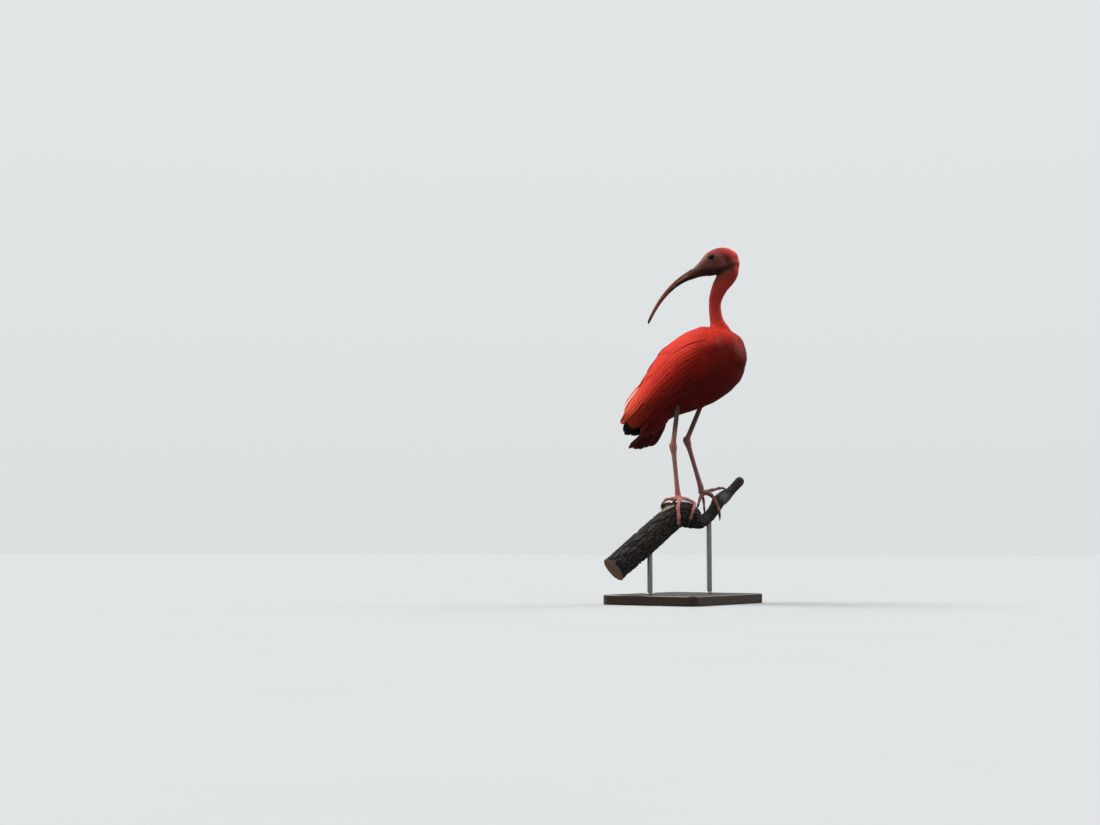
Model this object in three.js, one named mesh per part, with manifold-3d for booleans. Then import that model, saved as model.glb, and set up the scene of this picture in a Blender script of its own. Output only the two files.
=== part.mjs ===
// A scarlet ibis on a short cut branch, life size, on a plain display stand. Millimetres.
// +X is the way the breast faces, +Y is the bird's left and +Z is up.
// The origin is the middle of the stand's underside.

import * as THREE from "three";
import { LoftGeometry } from "three/addons/geometries/LoftGeometry.js";
import { mergeVertices } from "three/addons/utils/BufferGeometryUtils.js";
import Module from "manifold-3d";

const wasm = await Module();
wasm.setup();

// Driving dimensions.
const gap = 0.3; // left between two pieces that touch
const baseSize = { length: 200, width: 270, thickness: 18, cornerRadius: 16, bevel: 2 };
const perchLevel = 195; // height of the right foot's hold above the floor
const birdShift = new THREE.Vector3(0, 25, perchLevel); // the feet, from the middle of the base
const eyeRadius = 5.2;
const billLength = 125; // from the face to the tip, along the head
const headTurn = { yaw: -140, pitch: 25 }; // degrees, turned over the right shoulder and bill down
const headPlace = new THREE.Vector3(66.4, -2.3, 449.7);

const colours = {
  scarlet: 0xd8281a,
  scarletShade: 0xb01c14,
  pinkRed: 0xc23a30,
  face: 0x9c4a42,
  bill: 0x6f4a33,
  eye: 0x140d0a,
  leg: 0xb56a5e,
  claw: 0x2c201d,
  bark: 0x2b2421,
  base: 0x3a2d25,
  steel: 0x9a9b9d,
};

const radians = THREE.MathUtils.degToRad;
const point = (x, y, z) => new THREE.Vector3(x, y, z);

// Material finishes.
function finish(colour, roughness, metalness = 0) {
  return new THREE.MeshStandardMaterial({ color: colour, roughness, metalness });
}

// Solids: joining and cutting.
function solidOf(geometry) {
  const bare = new THREE.BufferGeometry();
  bare.setAttribute("position", geometry.getAttribute("position"));
  bare.setIndex(geometry.getIndex());
  const merged = mergeVertices(bare, 1e-4);
  const mesh = new wasm.Mesh({
    numProp: 3,
    vertProperties: new Float32Array(merged.getAttribute("position").array),
    triVerts: new Uint32Array(merged.getIndex().array),
  });
  return new wasm.Manifold(mesh);
}

function joined(solids) {
  return solids.reduce((whole, next) => whole.add(next));
}

function cutBy(body, cutters) {
  return cutters.reduce((rest, cutter) => rest.subtract(cutter), body);
}

// Only the largest closed surface is kept, so no loose scrap or sealed hollow stays.
function largest(body) {
  const pieces = body.decompose().sort((a, b) => b.volume() - a.volume());
  return pieces[0];
}

function geometryOf(body) {
  const mesh = body.getMesh();
  const geometry = new THREE.BufferGeometry();
  geometry.setAttribute("position", new THREE.BufferAttribute(mesh.vertProperties, 3));
  geometry.setIndex(new THREE.BufferAttribute(mesh.triVerts, 1));
  return geometry;
}

function node(name, body, material) {
  const mesh = new THREE.Mesh(geometryOf(largest(body)), material);
  mesh.name = name;
  return mesh;
}

function moved(geometry, matrix) {
  return geometry.clone().applyMatrix4(matrix);
}

// The same surface moved out along its normals, for cutting with a gap left.
function grown(geometry, distance) {
  const bare = new THREE.BufferGeometry();
  bare.setAttribute("position", geometry.getAttribute("position"));
  bare.setIndex(geometry.getIndex());
  const merged = mergeVertices(bare, 1e-4);
  merged.computeVertexNormals();
  const places = merged.getAttribute("position");
  const normals = merged.getAttribute("normal");
  for (let i = 0; i < places.count; i++) {
    const place = new THREE.Vector3().fromBufferAttribute(places, i);
    place.addScaledVector(new THREE.Vector3().fromBufferAttribute(normals, i), distance);
    places.setXYZ(i, place.x, place.y, place.z);
  }
  return merged;
}

// Sections wind so that the wall faces out, whatever order they came in.
function loft(sections) {
  const first = sections[0];
  const middleOf = (s) => s.reduce((sum, p) => sum.add(p), point(0, 0, 0)).divideScalar(s.length);
  const middle = middleOf(first);
  const turn = point(0, 0, 0);
  first.forEach((p, i) => {
    const q = first[(i + 1) % first.length];
    turn.add(p.clone().sub(middle).cross(q.clone().sub(middle)));
  });
  const ahead = middleOf(sections[1]).sub(middle);
  const ordered = turn.dot(ahead) < 0 ? sections.map((s) => [...s].reverse()) : sections;
  return new LoftGeometry(ordered, { capStart: true, capEnd: true });
}

// A thin plate from a grid of places with their outward directions, cut alike on both faces.
function plate(grid) {
  const [rows, columns] = [grid.length, grid[0].length];
  const outer = grid.flat().map(({ place }) => place);
  const inner = grid.flat().map(({ place, out, thick }) => place.clone().addScaledVector(out, -thick));
  const at = (i, j) => i * columns + j;
  const under = rows * columns;
  const faces = [];
  for (let i = 0; i < rows - 1; i++) {
    for (let j = 0; j < columns - 1; j++) {
      const [a, b, c, d] = [at(i, j), at(i + 1, j), at(i + 1, j + 1), at(i, j + 1)];
      faces.push([a, b, c], [a, c, d]);
      faces.push([a + under, c + under, b + under], [a + under, d + under, c + under]);
    }
  }
  const rim = [];
  for (let i = 0; i < rows - 1; i++) rim.push(at(i, 0));
  for (let j = 0; j < columns - 1; j++) rim.push(at(rows - 1, j));
  for (let i = rows - 1; i > 0; i--) rim.push(at(i, columns - 1));
  for (let j = columns - 1; j > 0; j--) rim.push(at(0, j));
  rim.forEach((a, i) => {
    const b = rim[(i + 1) % rim.length];
    faces.push([a, a + under, b], [b, a + under, b + under]);
  });
  const geometry = new THREE.BufferGeometry().setFromPoints([...outer, ...inner]);
  geometry.setIndex(faces.flat());
  return facedOut(solidOf(geometry), geometry);
}

function facedOut(solid, geometry) {
  if (solid.volume() > 0) return solid;
  const turned = geometry.clone();
  const index = turned.getIndex().array;
  for (let i = 0; i < index.length; i += 3) {
    [index[i], index[i + 1]] = [index[i + 1], index[i]];
  }
  return solidOf(turned);
}

// A smooth curve through rows of places and half sizes, read at a share from 0 to 1.
// The keel is the power of the lower half: 2 is round and less is narrower at the bottom.
function stations(rows) {
  const through = (pick) => new THREE.CatmullRomCurve3(rows.map(pick), false, "catmullrom", 0.5);
  const places = through((row) => point(...row.at));
  const sizes = through((row) => point(row.side, row.up ?? row.side, row.down ?? row.up ?? row.side));
  const keels = through((row) => point(row.keel ?? 2, 0, 0));
  return (share) => {
    const size = sizes.getPoint(share);
    return {
      centre: places.getPoint(share),
      along: places.getTangent(share),
      side: size.x,
      up: size.y,
      down: size.z,
      keel: keels.getPoint(share).x,
    };
  };
}

// One oval section across the way a station runs. Power 2 is an ellipse, and more is squarer.
function section(station, around, { power = 2, sideways = point(0, 1, 0) } = {}) {
  const along = station.along.clone().normalize();
  const side = sideways.clone().addScaledVector(along, -sideways.dot(along)).normalize();
  const up = side.clone().cross(along);
  const ring = [];
  for (let i = 0; i < around; i++) {
    const angle = (2 * Math.PI * i) / around;
    const [s, c] = [Math.sin(angle), Math.cos(angle)];
    const bend = 2 / (c > 0 ? power : (station.keel ?? power));
    const across = Math.sign(s) * Math.abs(s) ** bend * station.side;
    const rise = Math.sign(c) * Math.abs(c) ** bend * (c > 0 ? station.up : station.down);
    ring.push(station.centre.clone().addScaledVector(side, across).addScaledVector(up, rise));
  }
  return ring;
}

function bodyAlong(rows, { steps, around, from = 0, to = 1, ...shape }) {
  const read = stations(rows);
  const sections = [];
  for (let i = 0; i <= steps; i++) {
    sections.push(section(read(from + ((to - from) * i) / steps), around, shape));
  }
  return loft(sections);
}

// Torso, from the front of the breast to the root of the tail.
const torsoRows = [
  { at: [116, 0, 273], side: 7, up: 7, down: 7, keel: 2 },
  { at: [111, 0, 272], side: 28, up: 28, down: 26, keel: 2 },
  { at: [99, 0, 271], side: 44, up: 47, down: 43, keel: 2 },
  { at: [81, 0, 267], side: 56, up: 62, down: 56, keel: 2 },
  { at: [52, 0, 257], side: 61, up: 69, down: 65, keel: 1.95 },
  { at: [8, 0, 233], side: 57, up: 72, down: 65, keel: 1.7 },
  { at: [-30, 0, 202], side: 47, up: 61, down: 48, keel: 1.45 },
  { at: [-62, 0, 168], side: 36, up: 45, down: 19, keel: 1.7 },
  { at: [-73, 0, 156], side: 28, up: 36, down: 14, keel: 1.9 },
  { at: [-80, 0, 148], side: 10, up: 13, down: 6, keel: 2 },
];
const torsoShape = { steps: 18, around: 24, power: 2.1 };
const torsoGeometry = bodyAlong(torsoRows, torsoShape);
const torso = solidOf(torsoGeometry);
const torsoClear = solidOf(grown(torsoGeometry, gap));

// Head, in its own frame: +X runs to the bill and the origin is the middle of the skull.
const headRows = [
  { at: [-38, 0, -10], side: 5, up: 5, down: 5 },
  { at: [-36, 0, -9.5], side: 11, up: 12, down: 13 },
  { at: [-29, 0, -7], side: 16, up: 18, down: 19 },
  { at: [-18, 0, -3.5], side: 19, up: 25, down: 21 },
  { at: [-4, 0, -0.5], side: 19.8, up: 27, down: 22 },
  { at: [11, 0, 0.5], side: 18.3, up: 25.3, down: 21.5 },
  { at: [24, 0, 0], side: 14.8, up: 19.8, down: 18.4 },
  { at: [34, 0, -0.5], side: 11.6, up: 14.8, down: 13.6 },
  { at: [47, 0, -1], side: 8.8, up: 10.6, down: 9.8 },
];
const headShape = { steps: 14, around: 16, power: 2.1, sideways: point(0, -1, 0) };
const headGeometry = bodyAlong(headRows, headShape);
const head = new THREE.Group();
head.position.copy(headPlace);
head.rotation.set(0, radians(headTurn.pitch), radians(headTurn.yaw), "ZYX");
head.updateMatrix();

const eyePlace = { forward: 10.8, side: 13.3, up: 12.5 };
const lid = { radius: 5.7, tube: 1.1, lean: 12 };

function eyeball(side, radius) {
  const ball = new THREE.SphereGeometry(radius, 12, 8);
  return ball.translate(eyePlace.forward, side * eyePlace.side, eyePlace.up);
}

function lidRing(side) {
  const ring = new THREE.TorusGeometry(lid.radius, lid.tube, 6, 16);
  ring.rotateX(side * radians(-90 + 2 * lid.lean));
  ring.rotateZ(side * radians(-lid.lean));
  const out = lid.tube + 1.2;
  return ring.translate(
    eyePlace.forward + 0.6,
    side * (eyePlace.side + out),
    eyePlace.up + 0.8,
  );
}

// The gape is a shallow groove from the bill back along each cheek.
const gape = { length: 20, height: 0.9, depth: 1.4, drop: 5, level: -1.3 };

function gapeGroove() {
  const slot = new THREE.BoxGeometry(gape.length, 60, gape.height);
  slot.rotateY(radians(-gape.drop));
  slot.translate(47.5 - gape.length / 2, 0, gape.level - 0.6);
  return solidOf(slot).subtract(solidOf(grown(headGeometry, -gape.depth)));
}

function makeHead() {
  const sides = [1, -1];
  const lids = sides.map((side) => solidOf(lidRing(side)));
  const sockets = sides.map((side) => solidOf(eyeball(side, eyeRadius + gap)));
  const skull = joined([solidOf(headGeometry), ...lids]);
  head.add(node("head", cutBy(skull, [...sockets, gapeGroove()]), finish(colours.face, 0.7)));
  for (const side of sides) {
    const name = side > 0 ? "eye_left" : "eye_right";
    head.add(node(name, solidOf(eyeball(side, eyeRadius)), finish(colours.eye, 0.05)));
  }
}

// Bill: both halves follow one drooping line.
const billRoot = 47.3;
const billDroop = { from: 60, rate: 0.004 };
const billRows = [
  // share of the length, half width, depth above and below the mouth line
  [0, 8.6, 10.4, 9.6],
  [0.07, 7.4, 9.6, 8.8],
  [0.16, 6.2, 8.2, 7.4],
  [0.28, 5.2, 6.9, 6.1],
  [0.48, 4.3, 5.2, 4.6],
  [0.68, 3.6, 4.1, 3.5],
  [0.84, 3.1, 3.5, 2.8],
  [0.94, 2.7, 3.0, 2.3],
  [0.985, 1.9, 2.1, 1.6],
  [1, 0.9, 1.0, 0.8],
];
const nostril = { forward: 56, side: 5.6, up: 5.4, length: 6, height: 1.3, depth: 2.6 };

function billLine(x) {
  const past = Math.max(0, x - billDroop.from);
  return { z: -1 - billDroop.rate * past * past, slope: -2 * billDroop.rate * past };
}

function mandible(upper) {
  const arch = 9;
  const sections = billRows.map(([share, halfWidth, above, below]) => {
    const x = billRoot + share * billLength;
    const { z, slope } = billLine(x);
    const up = point(-slope, 0, 1).normalize();
    const height = (upper ? above : -below) - (upper ? gap / 2 : -gap / 2);
    const ring = [];
    for (let i = 0; i <= arch; i++) {
      const angle = (Math.PI * i) / arch;
      const rise = (upper ? gap / 2 : -gap / 2) + Math.sin(angle) ** 0.9 * height;
      ring.push(point(x, Math.cos(angle) * halfWidth, z).addScaledVector(up, rise));
    }
    return ring;
  });
  return solidOf(loft(sections));
}

function nostrilCut(side) {
  const cut = new THREE.SphereGeometry(1, 12, 8);
  cut.scale(nostril.length, nostril.depth, nostril.height);
  return solidOf(cut.translate(nostril.forward, side * nostril.side, nostril.up));
}

function makeBill() {
  const horn = finish(colours.bill, 0.45);
  const face = solidOf(grown(headGeometry, gap));
  const cuts = [nostrilCut(1), nostrilCut(-1), face];
  head.add(node("bill_upper", cutBy(mandible(true), cuts), horn));
  head.add(node("bill_lower", cutBy(mandible(false), [face]), horn));
}

// Neck, out of the breast and back over the shoulders to the head, in two lengths.
const neckRows = [
  { at: [80, 0, 288], side: 25, up: 26 },
  { at: [71, 0, 314], side: 20, up: 20 },
  { at: [62.5, 0, 334], side: 15.2, up: 15.2 },
  { at: [58.5, 0, 352], side: 13.4, up: 13.6 },
  { at: [57.5, 0, 370], side: 13, up: 13.4 },
  { at: [61, 0, 386], side: 14.2, up: 14.6 },
  { at: [69, 2, 404], side: 17, up: 17 },
  { at: [78, 6, 419], side: 19, up: 19.5 },
  { at: [84.5, 8.5, 431], side: 19, up: 19.3 },
  { at: [86.6, 8, 443], side: 16.5, up: 16.8 },
];
const neckSplit = 0.45;
const neckSideways = point(0, 1, 0);

function makeNeck() {
  const shape = { around: 18, sideways: neckSideways };
  const lower = bodyAlong(neckRows, { ...shape, steps: 9, to: neckSplit });
  const upper = bodyAlong(neckRows, { ...shape, steps: 9, from: neckSplit + 0.002 });
  const headClear = solidOf(moved(grown(headGeometry, gap), head.matrix));
  return [
    node("neck_lower", cutBy(solidOf(lower), [torsoClear]), finish(colours.pinkRed, 0.85)),
    node("neck_upper", cutBy(solidOf(upper), [headClear]), finish(colours.pinkRed, 0.85)),
  ];
}

// Wings: a folded wing is a sheet between a top, a middle and a low line, for the left side.
const wingLines = {
  top: [
    [70, 20, 318], [30, 13, 325], [-41, 9, 295], [-78, 8, 258], [-103, 8, 223],
    [-133, 8, 181], [-145, 11, 151],
  ],
  middle: [
    [97, 53, 291], [50, 70, 286], [-5, 69, 256], [-52, 57, 216], [-90, 39, 186],
    [-124, 25, 164], [-147, 15, 146],
  ],
  low: [
    [93, 51, 262], [48, 68, 232], [2, 65, 203], [-38, 54, 184], [-78, 37, 168],
    [-112, 24, 152], [-142, 15, 141],
  ],
};
const wingCore = { front: 7, rear: 2.4, steps: 9, across: 4 };
const vane = { thick: 0.6, tilt: 5, sink: 1.1, overlap: 1.25, rise: 1.7 };
const vaneOutline = [
  // share of the length, share of the width
  [0, 0.5],
  [0.35, 0.95],
  [0.8, 1],
  [1, 0.35],
];
// Each tier: how many, where their roots lie along and across the wing, where their tips lie.
const wingTiers = {
  primaries: { count: 4, root: [0.62, 0.6], across: [0.44, 0.84], tip: [1.0, 0.985], lift: 0.3 },
  secondaries: { count: 7, root: [0.42, 0.5], across: [0.12, 0.93], tip: [0.97, 0.78], lift: 1.8 },
  tertials: { count: 3, root: [0.4, 0.44], across: [0.1, 0.38], tip: [0.99, 0.91], lift: 3.4 },
  greaterCoverts: { count: 5, root: [0.28, 0.33], across: [0.18, 0.93], tip: [0.62, 0.54], lift: 3.2 },
  medianCoverts: { count: 5, root: [0.14, 0.17], across: [0.22, 0.92], tip: [0.4, 0.36], lift: 3.5 },
  scapulars: { count: 5, root: [0.06, 0.1], across: [0.07, 0.46], tip: [0.5, 0.34], lift: 4.8 },
};
const wingLength = 280;

function wingSheet(side) {
  const line = (name) => {
    const places = wingLines[name].map(([x, y, z]) => point(x, side * y, z));
    return new THREE.CatmullRomCurve3(places, false, "catmullrom", 0.5);
  };
  const [top, middle, low] = ["top", "middle", "low"].map(line);
  const place = (t, v) => {
    const spot = top.getPoint(t).multiplyScalar(2 * (v - 0.5) * (v - 1));
    spot.addScaledVector(middle.getPoint(t), 4 * v * (1 - v));
    return spot.addScaledVector(low.getPoint(t), 2 * v * (v - 0.5));
  };
  const step = 0.01;
  return (t, v) => {
    const inside = THREE.MathUtils.clamp(t, step, 1);
    const along = place(inside, v).sub(place(inside - step, v)).normalize();
    const across = place(inside, Math.min(1, v + step)).sub(place(inside, Math.max(0, v - step)));
    const out = across.clone().cross(along).multiplyScalar(side).normalize();
    const beyond = (t - inside) * wingLength;
    return { place: place(inside, v).addScaledVector(along, beyond), along, out };
  };
}

// The body of the wing under the feathers, rounded at the wrist.
function wingBlade(sheet) {
  const grid = [];
  for (let i = 0; i <= wingCore.steps; i++) {
    const share = i / wingCore.steps;
    const t = 0.9 * share;
    const round = Math.min(1, 0.35 + 2.6 * Math.sqrt(share));
    const thick = THREE.MathUtils.lerp(wingCore.front, wingCore.rear, share);
    const row = [];
    for (let j = 0; j <= wingCore.across; j++) {
      const edge = Math.abs((2 * j) / wingCore.across - 1);
      const v = 0.5 + (j / wingCore.across - 0.5) * round;
      const { place, out } = sheet(t, v);
      const dip = 1.5 * edge ** 4;
      row.push({ place: place.addScaledVector(out, -dip), out, thick: thick - 2 * dip * (thick / 7) });
    }
    grid.push(row);
  }
  return plate(grid);
}

// One feather on the sheet. Its lower edge lies over the feather below it.
function feather(sheet, side, from, to, width, lift) {
  const grid = vaneOutline.map(([share, wide]) => {
    const t = THREE.MathUtils.lerp(from[0], to[0], share);
    const v = THREE.MathUtils.lerp(from[1], to[1], share);
    const { place, out } = sheet(t, v);
    const ahead = sheet(t + 0.02, v + (0.02 * (to[1] - from[1])) / (to[0] - from[0])).place;
    const along = ahead.sub(place).normalize();
    const across = along.clone().cross(out).multiplyScalar(side).normalize();
    const climb = Math.min(1, share * vane.rise);
    const height = THREE.MathUtils.lerp(-vane.sink, lift + vane.thick, climb);
    const thick = vane.thick * (share < 1 ? 1 : 0.6);
    return [-1, 1].map((edge) => {
      const reach = (edge * wide * width) / 2;
      const rise = height + reach * Math.tan(radians(vane.tilt));
      return { place: place.clone().addScaledVector(across, reach).addScaledVector(out, rise), out, thick };
    });
  });
  return plate(grid);
}

function tierOfFeathers(sheet, side, { count, root, across, tip, lift }) {
  const feathers = [];
  for (let i = 0; i < count; i++) {
    const share = count > 1 ? i / (count - 1) : 0.5;
    const v = THREE.MathUtils.lerp(across[0], across[1], share);
    const t = THREE.MathUtils.lerp(root[0], root[1], share);
    const end = THREE.MathUtils.lerp(tip[0], tip[1], share);
    const middle = (t + end) / 2;
    const step = (across[1] - across[0]) / Math.max(1, count - 1);
    const near = sheet(middle, Math.max(0, v - step / 2)).place;
    const width = vane.overlap * near.distanceTo(sheet(middle, Math.min(1, v + step / 2)).place);
    feathers.push(feather(sheet, side, [t, v], [end, v], width, lift));
  }
  return feathers;
}

function makeWing(side) {
  const name = side > 0 ? "wing_left" : "wing_right";
  const sheet = wingSheet(side);
  const tiers = Object.values(wingTiers).flatMap((tier) => tierOfFeathers(sheet, side, tier));
  const wing = joined([wingBlade(sheet), ...tiers]);
  return node(name, cutBy(wing, [torsoClear]), finish(colours.scarlet, 0.8));
}

// Tail: a narrow fan of flat feathers under the wing tips, the middle ones on top.
const tailRoot = point(-68, 0, 156);
const tailTip = point(-130, 0, 102);
const tailFan = { count: 10, spread: 24, rootWidth: 22, width: 17, thick: 0.8, layer: 1.25 };
const tailCore = { length: 0.62, side: 27, up: 24, down: 15 };

function tailFeather(index) {
  const along = tailTip.clone().sub(tailRoot);
  const up = point(0, 1, 0).cross(along).normalize();
  if (up.z < 0) up.negate();
  const place = (2 * index) / (tailFan.count - 1) - 1;
  const layer = -Math.abs(place) * (tailFan.count / 2) * tailFan.layer + 2 * tailFan.layer;
  const turn = new THREE.Quaternion().setFromAxisAngle(up, radians((-place * tailFan.spread) / 2));
  const line = along.clone().applyQuaternion(turn);
  const across = line.clone().cross(up).normalize().multiplyScalar(-1);
  const root = tailRoot.clone().addScaledVector(point(0, 1, 0), place * tailFan.rootWidth * 0.5);
  const reach = 1 - 0.05 * Math.abs(place);
  const grid = vaneOutline.map(([share, wide]) => {
    const centre = root.clone().addScaledVector(line, share * reach);
    centre.addScaledVector(up, layer * Math.min(1, 0.3 + share) + (index % 2) * 0.01);
    const lean = Math.sign(place) * 0.02;
    return [-1, 1].map((edge) => {
      const half = (edge * wide * tailFan.width) / 2;
      const spot = centre.clone().addScaledVector(across, half).addScaledVector(up, -half * lean);
      return { place: spot, out: up, thick: tailFan.thick };
    });
  });
  return plate(grid);
}

// The coverts round the root of the tail, above and below it.
function tailBase() {
  const along = tailTip.clone().sub(tailRoot).normalize();
  const rows = [[-0.1, 1], [0.12, 1], [0.34, 0.8], [0.5, 0.5], [tailCore.length, 0.18]];
  const sections = rows.map(([share, size]) => {
    const centre = tailRoot.clone().lerp(tailTip, share);
    const { side, up, down } = tailCore;
    const flat = size ** 1.4;
    return section({ centre, along, side: side * size ** 0.5, up: up * flat, down: down * flat }, 14);
  });
  return solidOf(loft(sections));
}

function makeTail() {
  const feathers = [];
  for (let i = 0; i < tailFan.count; i++) feathers.push(tailFeather(i));
  const tail = cutBy(joined([tailBase(), ...feathers]), [torsoClear]);
  return node("tail", tail, finish(colours.scarletShade, 0.8));
}

// Legs. Each joint is a place in the bird's frame, with the right foot's hold at height 0.
const legs = {
  right: {
    thigh: [[12, -27, 222, 22], [3, -28, 202, 17], [-5, -28.6, 187, 10.5], [-8.8, -28.4, 178, 6.4]],
    ankle: [-19.9, -28, 103],
    foot: [-10.5, -28, 12],
  },
  left: {
    thigh: [[30, 27, 222, 22], [20, 29, 203, 17], [11.6, 30, 187, 10.5], [7.2, 30, 179, 6.4]],
    ankle: [-23.5, 30, 117],
    foot: [6, 30, 27],
  },
};
const shankRadius = { top: 4.9, middle: 4.6, bottom: 4.7 };
const legFacets = 10;
const ankleRadius = 7.4;
const tarsusRadius = { top: 4.9, middle: 4.2, bottom: 5.2 };

function tube(places, radii, around, steps) {
  const rows = places.map((at, i) => ({ at, side: radii[i] }));
  return bodyAlong(rows, { steps, around });
}

function between(a, b, share) {
  return a.map((value, i) => THREE.MathUtils.lerp(value, b[i], share));
}

function makeLeg(name) {
  const { thigh, ankle, foot } = legs[name];
  const exit = thigh[3].slice(0, 3);
  const sock = tube(thigh.map((row) => row.slice(0, 3)), thigh.map((row) => row[3]), 18, 9);
  const shankStart = between(exit, ankle, 0.006);
  const shankEnd = between(exit, ankle, 0.905);
  const shank = tube(
    [shankStart, between(exit, ankle, 0.5), shankEnd],
    [shankRadius.top, shankRadius.middle, shankRadius.bottom],
    legFacets,
    5,
  );
  const top = between(exit, ankle, 0.91);
  const tarsus = tube(
    [top, between(exit, ankle, 0.96), ankle, between(ankle, foot, 0.09), between(ankle, foot, 0.2),
      between(ankle, foot, 0.55), between(ankle, foot, 0.88), between(ankle, foot, 0.94)],
    [4.8, 6.3, ankleRadius, ankleRadius - 0.6, tarsusRadius.top, tarsusRadius.middle, 4.7, tarsusRadius.bottom],
    legFacets,
    13,
  );
  const skin = finish(colours.leg, 0.65);
  const sockClear = solidOf(grown(sock, gap));
  return [
    node(`thigh_${name}`, cutBy(solidOf(sock), [torsoClear]), finish(colours.scarletShade, 0.85)),
    node(`shank_${name}`, cutBy(solidOf(shank), [torsoClear, sockClear]), skin),
    node(`tarsus_${name}`, solidOf(tarsus), skin),
  ];
}

// Perch: a thick limb with a broken end, and the thin branch that leaves it from below.
const limbRows = [
  { at: [-68, -164, -131], side: 25 },
  { at: [-33, -104, -77], side: 25.5 },
  { at: [-10, -52, -36], side: 25 },
  { at: [0, -28, -27], side: 25 },
  { at: [5, -10, -32], side: 24 },
  { at: [9, 2, -35], side: 19.5 },
  { at: [11, 8, -37], side: 11 },
];
const branchRows = [
  { at: [-2, -26, -34], side: 15 },
  { at: [4, -10, -38], side: 15 },
  { at: [12.5, 18, -41], side: 13.6 },
  { at: [19, 41, -29], side: 11.8 },
  { at: [23, 57, -13], side: 12 },
  { at: [25, 66, -2], side: 13.4 },
  { at: [29, 78, 6.5], side: 13.2 },
  { at: [35, 93, 17], side: 10.2 },
  { at: [39.5, 104, 27], side: 9.2 },
  { at: [44, 116, 38], side: 9.4 },
  { at: [46, 121, 42.5], side: 6.5 },
];
const wood = {
  limb: { rows: limbRows.length - 1, read: stations(limbRows), steps: 14, around: 16 },
  branch: { rows: branchRows.length - 1, read: stations(branchRows), steps: 20, around: 10 },
};
const lump = { at: [-14.9, -52, -17], size: [11, 18, 13], turn: 24 };

// A place on the bark: how far along the rows, and degrees from the top towards the breast.
function onWood(part, row, degrees, lift) {
  const { rows, read } = wood[part];
  const station = read(row / rows);
  const up = point(0, 0, 1).addScaledVector(station.along, -station.along.z).normalize();
  const front = up.clone().cross(station.along).negate();
  const reach = station.side + lift;
  const turn = radians(degrees);
  return station.centre
    .clone()
    .addScaledVector(up, Math.cos(turn) * reach)
    .addScaledVector(front, Math.sin(turn) * reach);
}

function woodGeometry(part, lift) {
  const { rows, steps, around } = wood[part];
  const sections = [];
  for (let i = 0; i <= steps; i++) {
    const ring = [];
    for (let j = 0; j < around; j++) {
      ring.push(onWood(part, (rows * i) / steps, (360 * j) / around, 0));
    }
    sections.push(ring);
  }
  return lift ? grown(loft(sections), lift) : loft(sections);
}

function lumpGeometry(lift) {
  const knob = new THREE.SphereGeometry(1, 10, 7);
  knob.scale(...lump.size.map((size) => size + lift));
  knob.rotateZ(radians(-lump.turn));
  return knob.translate(...lump.at);
}

function makeWood(lift) {
  return joined([
    solidOf(woodGeometry("limb", lift)),
    solidOf(woodGeometry("branch", lift)),
    solidOf(lumpGeometry(lift)),
  ]);
}

const perch = makeWood(0);
const perchClear = makeWood(gap + 0.1);

// Feet. A toe starts at the foot and runs through free places and holds on the bark.
const toeLift = 3.6;
const feet = {
  right: {
    hub: [-9, -28, 5],
    toes: {
      inner: {
        path: [["limb", 3.1, 15], ["limb", 3.3, 42], ["limb", 3.1, 75], ["limb", 2.75, 112]],
        radius: 3.1,
      },
      middle: {
        path: [["limb", 2.6, 18], ["limb", 2.2, 50], ["limb", 1.95, 82], ["limb", 1.8, 104]],
        radius: 3.4,
      },
      outer: { path: [["at", -14, -43, 1.5], ["at", -19, -57, -0.5], ["at", -21, -67, -9]], radius: 3.1 },
      hind: { path: [["limb", 2.75, -38], ["limb", 2.8, -75]], radius: 2.9 },
    },
  },
  left: {
    hub: [8, 30, 16],
    toes: {
      inner: { path: [["at", 10.5, 19, 2], ["at", 11, 10.5, -11]], radius: 2.9 },
      middle: {
        path: [["at", 24, 37.5, 11], ["branch", 3.95, 44], ["branch", 3.6, 84]],
        radius: 3.3,
      },
      outer: { path: [["at", 19, 52, 20], ["at", 26, 68, 24], ["branch", 6.45, 2]], radius: 3.0 },
      hind: { path: [["at", 10, 34, 0], ["branch", 2.9, -12]], radius: 2.7 },
    },
  },
};
const claw = { length: 13, radius: 2.1, tipRadius: 0.5, droop: 4.5, steps: 4, around: 6 };

function toePlaces(hub, path) {
  const spots = path.map(([kind, ...values]) =>
    kind === "at" ? point(...values) : onWood(kind, values[0], values[1], toeLift),
  );
  return [point(...hub), ...spots];
}

function makeFoot(name) {
  const { hub, toes } = feet[name];
  const skin = finish(colours.leg, 0.6);
  const palm = new THREE.SphereGeometry(6.2, 10, 7).scale(1, 1, 0.9).translate(...hub);
  const tarsusEnd = between(legs[name].ankle, legs[name].foot, 0.943);
  const stem = tube([tarsusEnd, legs[name].foot, hub], [5.1, 5.4, 5.4], 10, 3);
  const pieces = [solidOf(palm), solidOf(stem)];
  const nodes = [];
  for (const [toe, { path, radius }] of Object.entries(toes)) {
    const places = toePlaces(hub, path);
    const line = new THREE.CatmullRomCurve3(places, false, "catmullrom", 0.5);
    const steps = 3 * path.length;
    const sections = [];
    for (let i = 0; i <= steps; i++) {
      const share = i / steps;
      const pad = 1 + 0.1 * Math.cos(share * path.length * 2 * Math.PI);
      const size = radius * (1.12 - 0.3 * share) * pad;
      const station = { centre: line.getPoint(share), along: line.getTangent(share), side: size };
      sections.push(section({ ...station, up: size, down: size }, 8));
    }
    pieces.push(solidOf(loft(sections)));
    nodes.push(makeClaw(`claw_${name}_${toe}`, line, radius));
  }
  const foot = cutBy(joined(pieces), [perchClear]);
  return [node(`foot_${name}`, foot, skin), ...nodes];
}

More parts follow.
